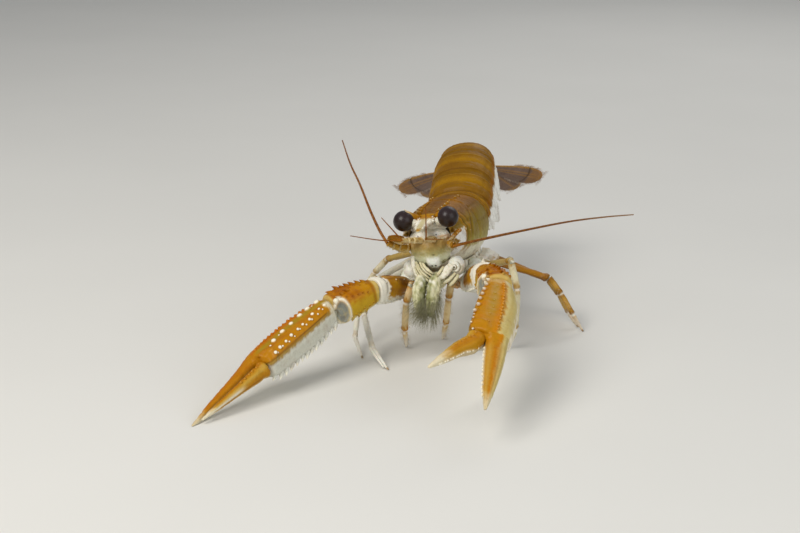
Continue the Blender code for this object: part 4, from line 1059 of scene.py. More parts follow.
def makeCarapace():
    rings = [carapaceRing(3.2, 0.72), carapaceRing(2, 0.84), carapaceRing(0.5, 0.9), carapaceRing(0, 0.96),
        carapaceRing(0.12, 1)]
    backs = [1.2, 2.5, 4.2, 6, 9, 12, 15, 18, 20.8, 23.5, 24.8, 26, 27.2, 28.5, 31.5, 35, 38, 41, 43.6, 46, 48,
        49.2]
    rings += [carapaceRing(back) for back in backs]
    rings += [carapaceRing(49.75, 0.995), carapaceRing(50, 0.965), carapaceRing(50, 0.9)]
    piece = growForm("carapaceShield", rings, 3)
    points = readPoints(piece)
    x, back, z, lean, neck, arcs = shieldMap(points)
    front = fade(0.2, 1.5, back)
    upper = fade(118, 88, lean)
    heights = -shield["grooveDepth"] * bump(back, neck, 0.9) * upper
    heights += 0.28 * bump(back, neck - 2, 1.4) * upper + 0.2 * bump(back, neck + 1.9, 1.2) * upper
    heights += 0.34 * bump(np.abs(x), 3.9 + 0.03 * back, 0.55) * fade(24, 20, back) * fade(1, 3, back) * (z > 0)
    heights += 0.22 * bump(np.abs(x), 4.7, 0.5) * fade(28, 30, back) * fade(44, 40, back) * (z > 0)
    heights += 0.22 * bump(x, 0, 0.45) * fade(2, 5, back) * fade(22, 19, back) * (z > 0)
    heights -= 0.22 * bump(x, 0, 0.35) * fade(27, 29, back) * (z > 0)
    heights -= 0.26 * bump(lean, 66 + 0.25 * back, 3.2) * fade(neck - 0.5, neck - 3, back) * front
    heights += 0.22 * bump(lean, 74 + 0.25 * back, 3.4) * fade(neck - 0.5, neck - 3, back) * front
    heights -= 0.2 * bump(lean, 52, 2.6) * fade(neck + 1, neck + 4, back) * fade(45, 41, back)
    heights -= 0.16 * bump(lean, 78, 2.4) * fade(neck + 2, neck + 6, back) * fade(47, 43, back)
    cheeks = fade(34, 48, lean) * fade(126, 116, lean)
    heights += (0.3 * bump(arcs, 5.9, 0.5) - 0.25 * bump(arcs, 7.2, 0.45) + 0.16 * bump(arcs, 9.6, 0.6)
        - 0.14 * bump(arcs, 11.2, 0.5)) * cheeks
    heights += 0.26 * bump(back, 48.5, 0.9) - 0.34 * bump(back, 47, 0.5)
    heights += 0.3 * bump(lean, 112, 5) * fade(8, 14, back) * fade(48, 44, back)
    heights += (0.04 * wobble(points, 1, 62) + 0.06 * wobble(points, 2.2, 63)) * front
    pushOut(piece, heights * fade(-0.3, 0.4, back))
    extras = []
    ahead = body[1] @ np.array([0, -1, 0])
    for _, sign in hands:
        spines = [(distance, side, carapaceTop(distance, side) + 0.25, long, 0.3, 0.9)
            for distance, side, long in shield["backSpines"]]
        spines += [(*spine, 0.6, 0.15) for spine in shield["sideSpines"]]
        for distance, side, level, long, out, rise in spines:
            way = body[1] @ np.array([sign * out, -1, rise])
            root = onCarapace(distance, sign * side, level)
            extras.append(growth("thorn", root, way, ahead, long, 0.45 + 0.18 * long))
        for number in range(26):
            side = 3.95 + dice.uniform(-0.25, 0.25)
            distance, way = 2 + number * 0.85, body[1] @ np.array([sign * 0.3, -0.4, 1])
            root = onCarapace(distance, sign * side, carapaceTop(distance, side) + 0.2)
            extras.append(growth("knob", root, way, ahead, dice.uniform(0.2, 0.4), dice.uniform(0.26, 0.38),
                    0.5))
    joinInto(piece, extras)
    points = readPoints(piece)
    x, back, z, lean, neck, arcs = shieldMap(points)
    cheeks = fade(34, 48, lean) * fade(126, 116, lean) * fade(neck, neck - 3, back)
    grain, fine = wobble(points, 6, 64), wobble(points, 1.8, 65)
    inside = fade(0.94, 0.9, np.maximum(np.abs(x) / 8.2, np.abs(z) / 9.4)) * fade(3.6, 2.8, back)
    colors = layered("#7c4c00",
        ("#744604", fade(0, 1.4, grain) * 0.5),
        ("#ac6a04", bump(lean, 24, 13) * 0.6),
        ("#8f7430", fade(48, 76, lean + grain * 5) * 0.9),
        ("#a8975e", fade(88, 106, lean + fine * 4) * 0.8),
        ("#e8e2ce", fade(109, 118, lean + fine * 2)),
        ("#744806", bump(back, neck, 1) * fade(110, 80, lean) * 0.7),
        ("#a8720e", bump(lean, 74 + 0.25 * back, 4) * fade(neck, neck - 3, back) * 0.6),
        ("#b4740c", (bump(arcs, 6.2, 0.9) + 0.8 * bump(arcs, 9.8, 0.8)) * cheeks * 0.9),
        ("#6f4c14", (bump(arcs, 7.6, 0.45) + 0.6 * bump(arcs, 11.6, 0.6)) * cheeks * 0.7),
        ("#7d5a1c", (bump(lean, 52, 2.6) + bump(lean, 78, 2.4)) * fade(neck + 1, neck + 4, back) * 0.5),
        ("#f4f2ea", fade(72, 80, lean + fine * 2) * fade(5.5, 5, arcs + fine * 0.15)),
        ("#6d3f06", bump(back, 47, 0.6) * 0.6),
        ("#c99a3c", fade(48.9, 49.5, back) * 0.6),
        ("#c98a1e", fade(1.6, 0.4, back) * fade(-0.6, 0.2, back) * fade(78, 66, lean) * 0.7),
        ("#b0946c", inside * 0.85),
        ("#c07c14", fade(0.1, 0.4, tipwardOf(piece)) * 0.7),
        ("#efe0bc", fade(0.55, 0.95, tipwardOf(piece)) * 0.9))
    finish(piece, colors, "carapaceShell", "shell", "carapace")


makeCarapace()
print("carapace done")


# Underside plates

plates = {"mouthWidth": 6.4, "mouthDepth": 2.6, "mouthEnd": 12, "breastWidth": 8.8, "breastDepth": 4.9,
    "breastEnd": 47}


def undersideRing(back, halfWidth, depth, size=1):
    wide = min(halfWidth, 0.78 * carapaceSize(back)[0], 5.8 + 0.6 * abs(back - plates["mouthEnd"]))
    floor = carapaceBottom(back, wide) - gap - depth
    ring = [onCarapace(back, x, carapaceBottom(back, x) - 1.3 * gap) for x in np.linspace(wide, -wide, 9)]
    for part, drop in ((-1, -0.9), (-1, 0), (-0.85, 0.55), (-0.6, 1.1), (-0.25, 1.35), (0.25, 1.35), (0.6, 1.1),
            (0.85, 0.55), (1, 0), (1, -0.9)):
        x = wide * part
        ring.append(onCarapace(back, x, min(floor - drop, carapaceBottom(back, x) - 1.4)))
    return shrunk(np.array(ring), size)


def makePlate(name, node, first, last, halfWidth, depth, segments):
    backs = np.arange(first + 0.3, last - 0.2, 1.15)
    rings = ([undersideRing(first, halfWidth, depth, 0.93)]
        + [undersideRing(back, halfWidth, depth) for back in backs])
    rings.append(undersideRing(last, halfWidth, depth, 0.93))
    piece = growForm(name, rings)
    points = readPoints(piece)
    x, back, z = unplace(body, points).T
    below = fade(-11, -13, z) if depth > 3 else fade(-8, -10.5, z)
    heights = 0.05 * wobble(points, 1.8, 71)
    for segment in segments:
        heights -= 0.45 * bump(back, segment - 0.05 * np.abs(x), 0.45) * below
        heights += 0.2 * bump(back, segment + 1.6, 1) * below
    heights -= 0.35 * bump(x, 0, 0.5) * below
    pushOut(piece, heights)
    points = readPoints(piece)
    x, back, z = unplace(body, points).T
    grain = wobble(points, 3, 72)
    colors = layered("#e7e0d0",
        ("#c2a274", fade(0.3, 1.3, grain) * 0.5))
    for segment in segments:
        colors = layered(colors, ("#8f6c48", bump(back, segment - 0.05 * np.abs(x), 0.5) * 0.6))
    finish(piece, colors, "paleShell", "pale_shell", node)


makePlate("breastPlate", "breast", plates["mouthEnd"] + gap, plates["breastEnd"], plates["breastWidth"],
    plates["breastDepth"], (17, 23.5, 30, 36.5, 42.5))
makePlate("mouthFrame", "mouth", 0, plates["mouthEnd"], plates["mouthWidth"], plates["mouthDepth"], (4.5, 8.5))
print("underside done")


# Abdomen

tergites = {
    # along a ring: how far along, how large its arch is, and how far its side plates reach down
    "profile": np.array([(0, 0.95, 0.5), (0.16, 0.95, 0.52), (0.24, 1, 0.62), (0.42, 1, 0.88), (0.56, 0.98, 1),
            (0.66, 1, 0.97), (0.84, 1.005, 0.7), (1, 0.985, 0.5)]),
    "stations": np.array([0, 0.03, 0.08, 0.13, 0.165, 0.2, 0.235, 0.27, 0.33, 0.4, 0.46, 0.51, 0.55, 0.58, 0.61,
            0.65, 0.7, 0.77, 0.84, 0.9, 0.945, 0.975, 1]),
    "fanRoot": (8.2, 6.4),
    "paddleLine": ((4.6, 0.5, -2.4), (5.2, 0.55, -6.5), (5.6, 0.7, -10.6)),
}


def tergiteOutline(wide, top, plate):
    half = []
    for degrees in (80, 70, 60, 50, 40, 30, 20, 10, 0):
        angle = math.radians(degrees)
        half.append((wide * math.cos(angle) ** 0.9, top * math.sin(angle) ** 0.9))
    half += [(1.005 * wide, -0.22 * plate), (1.02 * wide, -0.45 * plate), (1.045 * wide, -0.7 * plate),
        (1.06 * wide, -0.9 * plate), (1.045 * wide, -plate), (1 * wide, -0.9 * plate),
        (0.95 * wide, -0.7 * plate), (0.9 * wide, -0.5 * plate - 0.2)]
    half += [(0.79 * wide, -abdomen["belly"]), (0.5 * wide, -abdomen["belly"] - 0.3)]
    mirrored = [(-x, z) for x, z in reversed(half)]
    return [(0, top)] + half + [(0, -abdomen["belly"] - 0.4)] + mirrored


def makeTergite(index):
    length, _, _, wide, top, plate = abdomen["rings"][index]
    axes = rings[index]
    front, back = moved(bodyJoint(index), gap / 2), moved(bodyJoint(index + 1), -gap / 2)
    nextWide, nextTop = abdomen["rings"][index + 1][3:5] if index < 5 else tergites["fanRoot"]
    profile = tergites["profile"]
    outlines = []
    for part in tergites["stations"]:
        swell, drop = glide(profile[:, 0], profile[:, 1:], np.array([part]))[0]
        ringWide = (wide + (nextWide - wide) * part) * swell
        ringTop = (top + (nextTop - top) * part) * swell
        deep = max(abdomen["belly"] + 1, plate * drop)
        ring = []
        for x, z in tergiteOutline(ringWide, ringTop, deep):
            near, far = reach(axes, front, x, z), reach(axes, back, x, z)
            swept = 0.14 * float(fade(-3, -plate, z)) * math.sin(math.pi * part)
            ring.append(place(axes, (x, near + (far - near) * min(1, part + swept), z)))
        outlines.append(np.array(ring))
    outlines = [shrunk(outlines[0], 0.95)] + outlines + [shrunk(outlines[-1], 0.95)]
    piece = growForm("tergite%d" % (index + 1), outlines)
    points = readPoints(piece)
    x, along, z = unplace(axes, points).T
    part = along / length
    shellSide = np.clip(fade(-abdomen["belly"] - 0.2, -1.5, z) + fade(0.8 * wide, 0.88 * wide, np.abs(x)), 0, 1)
    main = fade(0.26, 0.34, part) * fade(0.98, 0.92, part)
    heights = -0.3 * bump(part, 0.235, 0.018) * shellSide
    heights -= (0.2 * bump(part, 0.47 + 0.05 * np.cos(x / 3), 0.02) * fade(7.5, 4.5, np.abs(x))
        * (z > 0) * (index > 0))
    heights += 0.16 * bump(part, 0.955, 0.03) * shellSide
    heights -= 0.22 * bump(np.abs(x) - 0.8 * wide, 0, 0.6) * (z > 0) * main
    heights += 0.3 * bump(z, -0.25 * plate, 0.9) * main * (np.abs(x) > 0.8 * wide)
    heights -= 0.3 * bump(part, 0.62, 0.05) * fade(-0.3 * plate, -0.75 * plate, z) * (np.abs(x) > 0.9 * wide)
    heights += 0.05 * wobble(points, 1.3, 81 + index) * shellSide
    pushOut(piece, heights)
    points = readPoints(piece)
    x, along, z = unplace(axes, points).T
    part = along / length
    fine = wobble(points, 1.5, 91)
    bands = wobble(np.stack([part * 6, part * 2, x * 0.12], axis=1), 1.5, 92)
    edge = fade(0.78 * wide, 0.86 * wide, np.abs(x))
    colors = layered("#8b5a02",
        ("#875604", fade(0, 1.2, bands) * 0.5),
        ("#b87e10", bump(part, 0.72, 0.14) * 0.5 * (z > 0)),
        ("#7d5206", fade(0.24, 0.17, part) * 0.6),
        ("#6b4206", bump(part, 0.235, 0.025) * 0.6),
        ("#7e5006", bump(part, 0.47 + 0.05 * np.cos(x / 3), 0.025) * fade(8, 4, np.abs(x)) * (z > 0) * 0.4),
        ("#bf8c26", bump(part, 0.985, 0.02) * 0.6),
        ("#a85c06", bump(z / plate + fine * 0.04, 0.26, 0.12) * edge * 0.6),
        ("#f2efe6", fade(-0.14, 0.02, -z / plate + fine * 0.04 + 0.1 * bump(part, 0.9, 0.15)) * edge),
        ("#c9c4b4", bump(part, 0.34, 0.05) * fade(0.1, 0.4, -z / plate) * edge * 0.6),
        ("#d8ccb4", fade(-abdomen["belly"] + 0.6, -abdomen["belly"] - 0.1, z)
            * fade(0.9 * wide, 0.84 * wide, np.abs(x))))
    finish(piece, colors, "abdomenShell", "abdomen", "abdomen_%d" % (index + 1))
    hairs = []
    for _ in range(90):
        side, spot = dice.choice((-1, 1)), dice.uniform(0.3, 0.98)
        deep = max(abdomen["belly"] + 1, plate * float(np.interp(spot, profile[:, 0], profile[:, 2])))
        ringWide = wide + (nextWide - wide) * spot
        hairs.append((place(axes, (side * ringWide * 1.03, length * (spot + 0.14 * math.sin(math.pi * spot)),
                    -deep + 0.3)),
                axes[1] @ np.array([side * dice.uniform(-0.1, 0.2), dice.uniform(0.2, 0.8), -1]),
                dice.uniform(0.4, 0.9)))
    bristles("tergiteFringe%d" % (index + 1), hairs, 0.06, (0, 0, 0), "paleHair", "abdomen")
    if index in (0, 5):
        return
    for label, sign in hands:
        line = [place(axes, (sign * side, length * spot, level))
            for side, spot, level in tergites["paddleLine"]]
        paddle, guide = limbForm("swimmeret%d%s" % (index + 1, label), line,
            [(1.6, 0.6), (2.6, 0.6), (1.1, 0.4)], -axes[1][:, 1], corners=12, step=1.2, lip=0.7)
        _, along, _, aside, *_ = survey(paddle, guide)
        pushOut(paddle, -0.15 * bump(aside, 0, 0.2) * fade(2, 4, along) - 0.2 * bump(along, 3, 0.3))
        colors = layered("#d2b894", ("#b08458", fade(0.2, 1.2, wobble(readPoints(paddle), 2.5, 95)) * 0.5),
            ("#e8decc", fade(5, 8, along) * 0.7))
        finish(paddle, colors, "paleShell", "abdomen")


for index in range(6):
    makeTergite(index)
print("abdomen done")


# Tail fan

fan = {
    "telsonShape": ((0, 5, 5), (0.12, 5.3, 5.3), (0.5, 4.9, 4.9), (0.85, 4.2, 4.2), (0.96, 3.2, 3.2),
        (1, 1.6, 1.6)),
    "bladeShape": ((0, 1.5, 1.5), (0.22, 3, 3), (0.45, 4.8, 4.8), (0.7, 5.8, 5.8), (0.86, 5.2, 5.2),
        (0.96, 3.4, 3.4), (1, 1.4, 1.4)),
    # name, node, distance of the root from the middle, heading, length, level
    "blades": (("innerBlade", "uropod_inner_", 5.4, 36, 23.9, 0),
        ("outerBlade", "uropod_outer_", 6.6, 64, 26, -1.5)),
    "stations": 20,
}


def makeVane(name, node, root, heading, length, shape, level, thickness, ribs, seam):
    axes = rings[6]
    a = math.radians(heading)
    way, side = (axes[1] @ np.array([*part, 0])
        for part in ((math.sin(a), math.cos(a)), (math.cos(a), -math.sin(a))))
    over = axes[1][:, 2]
    start = moved(bodyJoint(6), gap / 2)
    base = place(axes, (root, 0, level))
    shape = np.array(shape)
    parts = np.concatenate([np.linspace(0, 0.9, fan["stations"]), [0.93, 0.955, 0.975, 0.99, 1]])
    sizes = glide(shape[:, 0], shape[:, 1:], parts)
    outlines = []
    for part, (inner, outer) in zip(parts, sizes):
        half = thickness / 2 * (1 if part < 0.5 else 1 - 0.5 * (part - 0.5))
        spots = np.concatenate([np.linspace(-1, 1, 10), np.linspace(0.9, -0.9, 9)])
        z = np.repeat([half, -half], (10, 9)) * (1 - np.abs(spots) ** 2.6) ** 0.7
        ring = (base + way * length * part + np.outer(-inner + (inner + outer) * (spots + 1) / 2, side)
            + np.outer(z, over))
        outlines.append(slide(ring, way, start) if part == 0 else ring)
    piece = growForm(name, outlines)
    points = readPoints(piece)
    off = points - base
    along = off @ way / length
    spot = off @ side / np.interp(along, shape[:, 0], shape[:, 1])
    heights = sum(0.22 * bump(spot, rib, 0.07) for rib in ribs) * fade(0.95, 0.8, along)
    heights -= 0.07 * bump(np.mod(spot * 9, 1), 0.5, 0.22) * fade(0.45, 0.7, along) * (np.abs(spot) < 0.92)
    if seam:
        heights -= 0.26 * bump(along + 0.05 * spot ** 2, seam, 0.008)
        heights += 0.16 * bump(along + 0.05 * spot ** 2, seam - 0.02, 0.012)
    heights += 0.03 * wobble(points, 1.4, 101)
    pushOut(piece, heights)
    extras = []
    if seam:
        for number in range(11):
            x = -0.85 + 1.7 * number / 10
            at = seam - 0.05 * x ** 2 - 0.005
            root = base + way * length * at + side * x * 5.2 + over * thickness * 0.3
            extras.append(growth("thorn", root, way + over * 0.5, over, 0.8, 0.3))
    joinInto(piece, extras)
    points = readPoints(piece)
    off = points - base
    along = off @ way / length
    spot = off @ side / np.interp(along, shape[:, 0], shape[:, 1])
    outward = spot * (1 if heading >= 0 else -1)
    grain, fine = wobble(points, 4, 102), wobble(points, 1.4, 103)
    colors = layered("#7c655f",
        ("#5c4845", fade(0, 1.2, grain) * 0.55),
        ("#876a62", bump(spot, 0, 0.5) * 0.4),
        ("#c48d5a", fade(0.7, 0.93, (np.abs(spot) if heading == 0 else outward) + fine * 0.05) * 0.8),
        ("#d8c6ae", fade(0.14, 0.04, along + fine * 0.01) * 0.9),
        ("#b07e58", sum(bump(spot, rib, 0.08) for rib in ribs) * 0.7 * fade(1, 0.85, along)),
        ("#b98860", fade(0.88, 0.97, along + fine * 0.01) * 0.6))
    if seam:
        colors = layered(colors, ("#46301e", bump(along + 0.05 * spot ** 2, seam, 0.012) * 0.85),
            ("#a8714e", fade(seam + 0.02, seam + 0.05, along) * 0.5))
    if heading == 0:
        colors = layered(colors, ("#a87210", fade(0.75, 0.35, along + grain * 0.05) * 0.9))
    finish(piece, layered(colors, ("#e6dac2", fade(0.4, 0.9, tipwardOf(piece)))), "fanShell", "tail_fan", node)
    hairs = []
    for number in range(470):
        part, hand = dice.uniform(0.42, 1), dice.choice((-1, 1))
        slope, x = float(fade(0.7, 1, part)), float(np.interp(part, shape[:, 0], shape[:, 1]))
        if number < 90:
            part, slope, x = 0.992, 1, dice.uniform(0, 1) * x
        hairs.append((base + way * length * part * 0.995 + side * hand * x * 0.97,
                side * hand * (1 - slope * 0.75) + way * (0.35 + slope) + over * dice.uniform(-0.06, 0.06)
                + jitter(0.08), dice.uniform(1, 1.8)))
    bristles(name + "Fringe", hairs, 0.08, (0, 0, 0), "fanHair", "tail_fan")


makeVane("telsonPlate", "telson", 0, 0, 21.5, fan["telsonShape"], 1.7, 1.6, (-0.45, 0.45), 0)
for label, sign in hands:
    for name, node, root, heading, length, level in fan["blades"]:
        outer = name == "outerBlade"
        makeVane(name + label, node + label, sign * root, sign * heading, length, fan["bladeShape"], level, 1.1,
            (0, 0.3 * sign) if outer else (0,), 0.74 if outer else 0)
print("tail fan done")


# Head

head = {
    "beakLength": 18.2, "beakHalfWidth": 3.3, "beakHeight": 7.6, "beakTip": 5.5,
    # along the beak: part of its length, part of its width, half its height
    "beakShape": ((0, 1, 1.7), (0.15, 0.95, 1.6), (0.45, 0.66, 1.4), (0.8, 0.36, 0.9), (1, 0.1, 0.25)),
    # teeth of the beak: distance from its root, angle round it, length
    "beakTeeth": ((5, 8, 1.9), (8, 8, 1.8), (11.6, 8, 1.6), (14.6, 10, 0.8), (2.4, 12, 0.8)),
    # the face in front of the orbit: distance forward, half width, top and bottom
    "faceSections": np.array([(0.3, 7.7, 5, 9.4), (2, 7.2, 4.6, 9.2), (4.2, 5.2, 3.4, 7.4)]),
    "lipSide": 1.1,                                   # how far the upper lip sits to the animal's left
    "eyeCentre": (8.1, -3.4, 8), "stalkRoot": (3.4, -3.2, 6.6), "eyeRadius": 3.7, "eyeWide": 1.14,
    "eyeHigh": 0.98, "baseRoot": (7.9, -2.4, -1.6), "baseBend": (9.4, -5.4, -0.8),
    "scaleLine": ((8.6, 1.9, 1.2), (10, 4.8, 1.7), (11.5, 8.2, 2.3), (12.5, 11.8, 3)),
}


def segmented(along, joints, depth=0.26, wide=0.28):
    # A swell before each joint of a limb and a narrow groove in it.
    return sum(depth * 0.7 * bump(along, joint - wide * 2.6, wide * 1.8) - depth * bump(along, joint, wide)
        for joint in joints)


def makeRostrum():
    root = place(body, (0, -gap, head["beakHeight"]))
    tip = place(body, (0, -head["beakLength"], head["beakTip"]))
    line = [root + (tip - root) * part for part, _, _ in head["beakShape"]]
    sizes = [(head["beakHalfWidth"] * wide, high) for _, wide, high in head["beakShape"]]
    piece, guide = limbForm("beakRostrum", line, sizes, body[1][:, 2], corners=16, squareness=1.7, step=0.8,
        start=(root, body[1][:, 1]), lip=0.95)
    points, along, _, aside, above = survey(piece, guide)
    wide = np.interp(along / guide["at"][-1], *np.array(head["beakShape"])[:, :2].T) * head["beakHalfWidth"]
    spot = aside / wide
    heights = (0.28 * bump(np.abs(spot), 0.86, 0.12) * (above > -0.3)
        - 0.45 * bump(spot, 0, 0.42) * (above > 0) * fade(17, 13, along))
    heights += (0.16 * bump(spot, 0, 0.1) * (above > 0) * fade(14, 9, along)
        + 0.2 * bump(spot, 0, 0.2) * (above < 0))
    pushOut(piece, (heights + 0.05 * wobble(points, 0.9, 111)) * fade(0, 1, along))
    tree = treeOf(piece)
    extras = []
    for sign in (1, -1):
        for distance, angle, long in head["beakTeeth"]:
            extras += spineRow(tree, guide, sign, "thorn", distance, distance, 1, (angle, angle), long,
                0.32 + 0.2 * long, 1.2)
        extras += spineRow(tree, guide, sign, "knob", 1.2, 14.5, 24, (20, 20), 0.28, 0.27, 0.3, 7)
        # the long spine over each orbit
        way = body[1] @ (np.array([0.3, -0.8, 0.55]) if sign > 0 else np.array([-0.6, -1, 0.72]))
        extras.append(growth("thorn", place(body, (sign * 4.4, -1.4, 9)), way, body[1][:, 2],
                1.8 if sign > 0 else 6, 1.25, 0.3))
    extras += spineRow(tree, guide, 1, "thorn", 10.9, 10.9, 1, (268, 268), 1.4, 0.55, 1.2)
    joinInto(piece, extras)
    points, along, _, aside, above = survey(piece, guide)
    grain, fine, tips = wobble(points, 2.6, 112), wobble(points, 1, 113), tipwardOf(piece)
    colors = layered("#bf7a0e",
        ("#8f5a0c", fade(0.1, 1.3, grain) * 0.5),
        ("#d3c6a4", fade(2.2, 6, along + fine * 0.8) * 0.93),
        ("#efebde", fade(2, 6, along) * fade(0.3, 0.8, np.abs(aside) / 2) * 0.85),
        ("#e6decb", fade(-0.05, -0.4, above + fine * 0.12)),
        ("#b9751c", fade(15.2, 16.6, along + fine * 0.4) * fade(0, 0.2, above) * fade(0.9, 0.5, np.abs(aside))
            * 0.9),
        ("#c87e14", fade(0.1, 0.4, tips) * fade(5, 3, along) * 0.5),
        ("#f3eee0", fade(0.5, 0.85, tips) * 0.95))
    finish(piece, colors, "carapaceShell", "shell", "rostrum")
    hairRow("beakFringe", tree, guide, 300, (2, 15.5), (-14, 194, -26, 206), (0.7, 1.4), (0.6, 1.3), 0.065,
        "paleHair", "shell")


def makeFace():
    sections = head["faceSections"]
    angles = roundAngles(28)
    rings = []
    for forward, size in ((0.3, 0.93), (0.3, 1), (0.75, 1), (1.3, 1), (2, 1), (2.7, 1), (3.4, 1), (3.95, 1),
            (4.2, 0.96), (4.5, 0.86), (4.75, 0.7), (4.9, 0.48), (4.95, 0.22)):
        wide, top, bottom = glide(sections[:, 0], sections[:, 1:], np.array([min(forward, 4.2)]))[0]
        x, z = wide * power(np.sin(angles), 0.8) * size, power(np.cos(angles), 0.8)
        z = (np.where(z > 0, z * top, z * bottom) + 1.8) * size - 1.8
        rings.append(np.array([place(body, (a, -forward, b)) for a, b in zip(x, z)]))
    piece = growForm("faceEpistome", rings, 3)
    points = readPoints(piece)
    x, y, z = unplace(body, points).T
    side, lip = np.abs(x), x - head["lipSide"]
    front = fade(0.9, 2.6, -y)
    line = -4.9 + 0.02 * x ** 2                              # lower edge of the epistome
    heights = (0.5 * bump(z, line + 2.2, 1.6) * fade(8.5, 6.5, side)
        - 0.12 * bump(z, line, 0.8) * front * fade(7.2, 5.4, side))
    # the upper lip, its sides, the kidney pores and the lip's own pore
    heights += (1.1 * bump(lip, 0, 2.2) * bump(z, -8, 2.2)
        - 0.3 * bump(lip, 0, 0.22) * bump(z, -9.2, 0.8)) * front
    heights -= 0.35 * bump(np.abs(lip) - 2.8, 0, 0.5) * bump(z, -8.2, 1.7) * front
    heights += (0.4 * bump(side, 6.1, 0.6) * bump(z, -3.9, 0.6)
        - 0.2 * bump(x, 0, 0.3) * bump(z, -2, 2.4)) * front
    heights -= 0.5 * bump(np.hypot((lip - 0.4) / 0.7, (z + 4.8) / 0.3), 0, 0.7) * front
    far = np.hypot(side - 2.4, z - 0.9)                      # rims the antennules grow from
    heights += (0.2 * bump(far, 1.75, 0.35) - 0.1 * fade(1.5, 1, far)
        + 0.3 * bump(np.hypot(side - 7, z + 1.5), 2.5, 0.4)) * front
    heights += 0.5 * bump(side, 5.8, 1) * bump(z, 1.9, 0.6) * front
    for level in (-2.6, -1.5, -0.4, 0.7):
        heights -= 0.1 * bump(z, level - 0.02 * side ** 2, 0.14) * bump(side, 4.6, 1.6) * front
    pushOut(piece, heights + 0.05 * wobble(points, 0.9, 121) + 0.08 * wobble(points, 2.4, 122) * front)
    points = readPoints(piece)
    x, y, z = unplace(body, points).T
    side, lip = np.abs(x), x - head["lipSide"]
    line = -4.9 + 0.02 * x ** 2
    grain, fine = wobble(points, 2.8, 123), wobble(points, 0.9, 124)
    colors = layered("#a98e62",
        ("#8a6f44", fade(0, 1.2, grain) * 0.6),
        ("#b98a60", bump(z, -0.6, 1.4) * 0.5),
        ("#b0a67c", fade(line + 2.8, line + 0.4, z + fine * 0.3) * 0.8),
        ("#c3c1a4", fade(line + 0.6, line - 1.4, z + fine * 0.3)),
        # painted shade: the lowest band of the face, behind the folded mouth plates, is darkened to olive so
        # the gaps between them read as shadow
        ("#6f6644", fade(line - 2.2, line - 3.4, z + 0.5 * fine) * 0.9),
        ("#e6e7dc", fade(2.9, 1.7, np.abs(lip)) * fade(line - 0.2, line - 1.6, z)),
        ("#5c4a2c", bump(np.hypot((lip - 0.4) / 0.7, (z + 4.8) / 0.3), 0, 0.6) * 0.7),
        ("#1f1c18", fade(0.42, 0.26, np.hypot(np.abs(lip) - 0.65, z + 8.7))),
        ("#dedacc", fade(0.2, 1.6, z + fine * 0.2) * 0.85),
        ("#cf9c7c", bump(z, 1.6, 0.4) * fade(3, 4.4, side) * 0.8),
        ("#faf8f2", bump(np.hypot(side - 3.4, z - 2.6), 0, 0.9) * 0.9),
        ("#3a3630", fade(0.34, 0.2, np.hypot(side - 3.3, z - 2.4)) * 0.9),
        ("#b8741e", fade(6, 7.2, side) * fade(-3.6, -1.5, z) * fade(1.6, 0.8, z) * 0.8))
    finish(piece, colors, "paleShell", "pale_shell", "face")


def makeEye(label, sign):
    start, centre = (place(body, np.array(head[key]) * (sign, 1, 1)) for key in ("stalkRoot", "eyeCentre"))
    way, over = unit(centre - start), body[1][:, 2]
    high = squareTo(over, way)
    side = np.cross(way, high)
    rim = centre - way * 1.45
    line = [start, start + (rim - start) * 0.45, start + (rim - start) * 0.8, rim]
    stalk, guide = limbForm("eyeStalk" + label, line, [(1.3, 1.3), (1.75, 1.7), (2.6, 2.4), (3.2, 2.95)], over,
        corners=20, squareness=2, step=0.45, lip=0.88)
    points, along, _, _, above = survey(stalk, guide)
    last = guide["at"][-1]
    pushOut(stalk, 0.22 * bump(along, last - 0.15, 0.3) - 0.12 * bump(along, last - 0.9, 0.3)
        - 0.2 * bump(along, last * 0.42, 0.25) + 0.05 * wobble(points, 0.9, 131))
    colors = layered("#ddd8c8",
        ("#a89c80", fade(0.1, 1.2, wobble(points, 1.6, 132)) * 0.5),
        ("#b97c2a", bump(above, 2.2, 0.8) * fade(last - 1, 0, along) * 0.6),
        ("#a08a6c", fade(last - 1, last - 0.3, along) * 0.7))
    finish(stalk, colors, "paleShell", "pale_shell", "eyestalk_" + label)

    angles = roundAngles(24, 0.5)
    lobe = 1.02 + 0.04 * np.sin(angles) - 0.03 * np.cos(2 * angles)
    rings = []
    for along in (-3.4, -3.1, -2.6, -2, -1.3, -0.6, 0.1, 0.8, 1.5, 2.1, 2.65, 3.05, 3.35, 3.53, 3.6):
        radius = math.sqrt(max(head["eyeRadius"] ** 2 - along ** 2, 0.16)) * lobe
        rings.append(centre + way * along + np.outer(np.cos(angles) * head["eyeWide"] * radius, side)
            + np.outer(np.sin(angles) * head["eyeHigh"] * radius, high))
    cornea = growForm("eye" + label, [shrunk(rings[0], 0.86)] + rings)
    off = readPoints(cornea) - centre
    along, lift = off @ way, off @ high
    colors = layered("#15100f",
        ("#2e201a", fade(-0.6, -1.7, along) * 0.8),
        # painted sheen: the upper part of the cornea is lightened to purple-grey, standing in for the light it
        # reflects
        ("#2c2130", fade(-0.5, 3.2, lift) * 0.75),
        ("#3a2420", fade(-1.6, -3.3, lift) * 0.6))
    finish(cornea, colors, "wetEye", "eye", "eye_" + label)


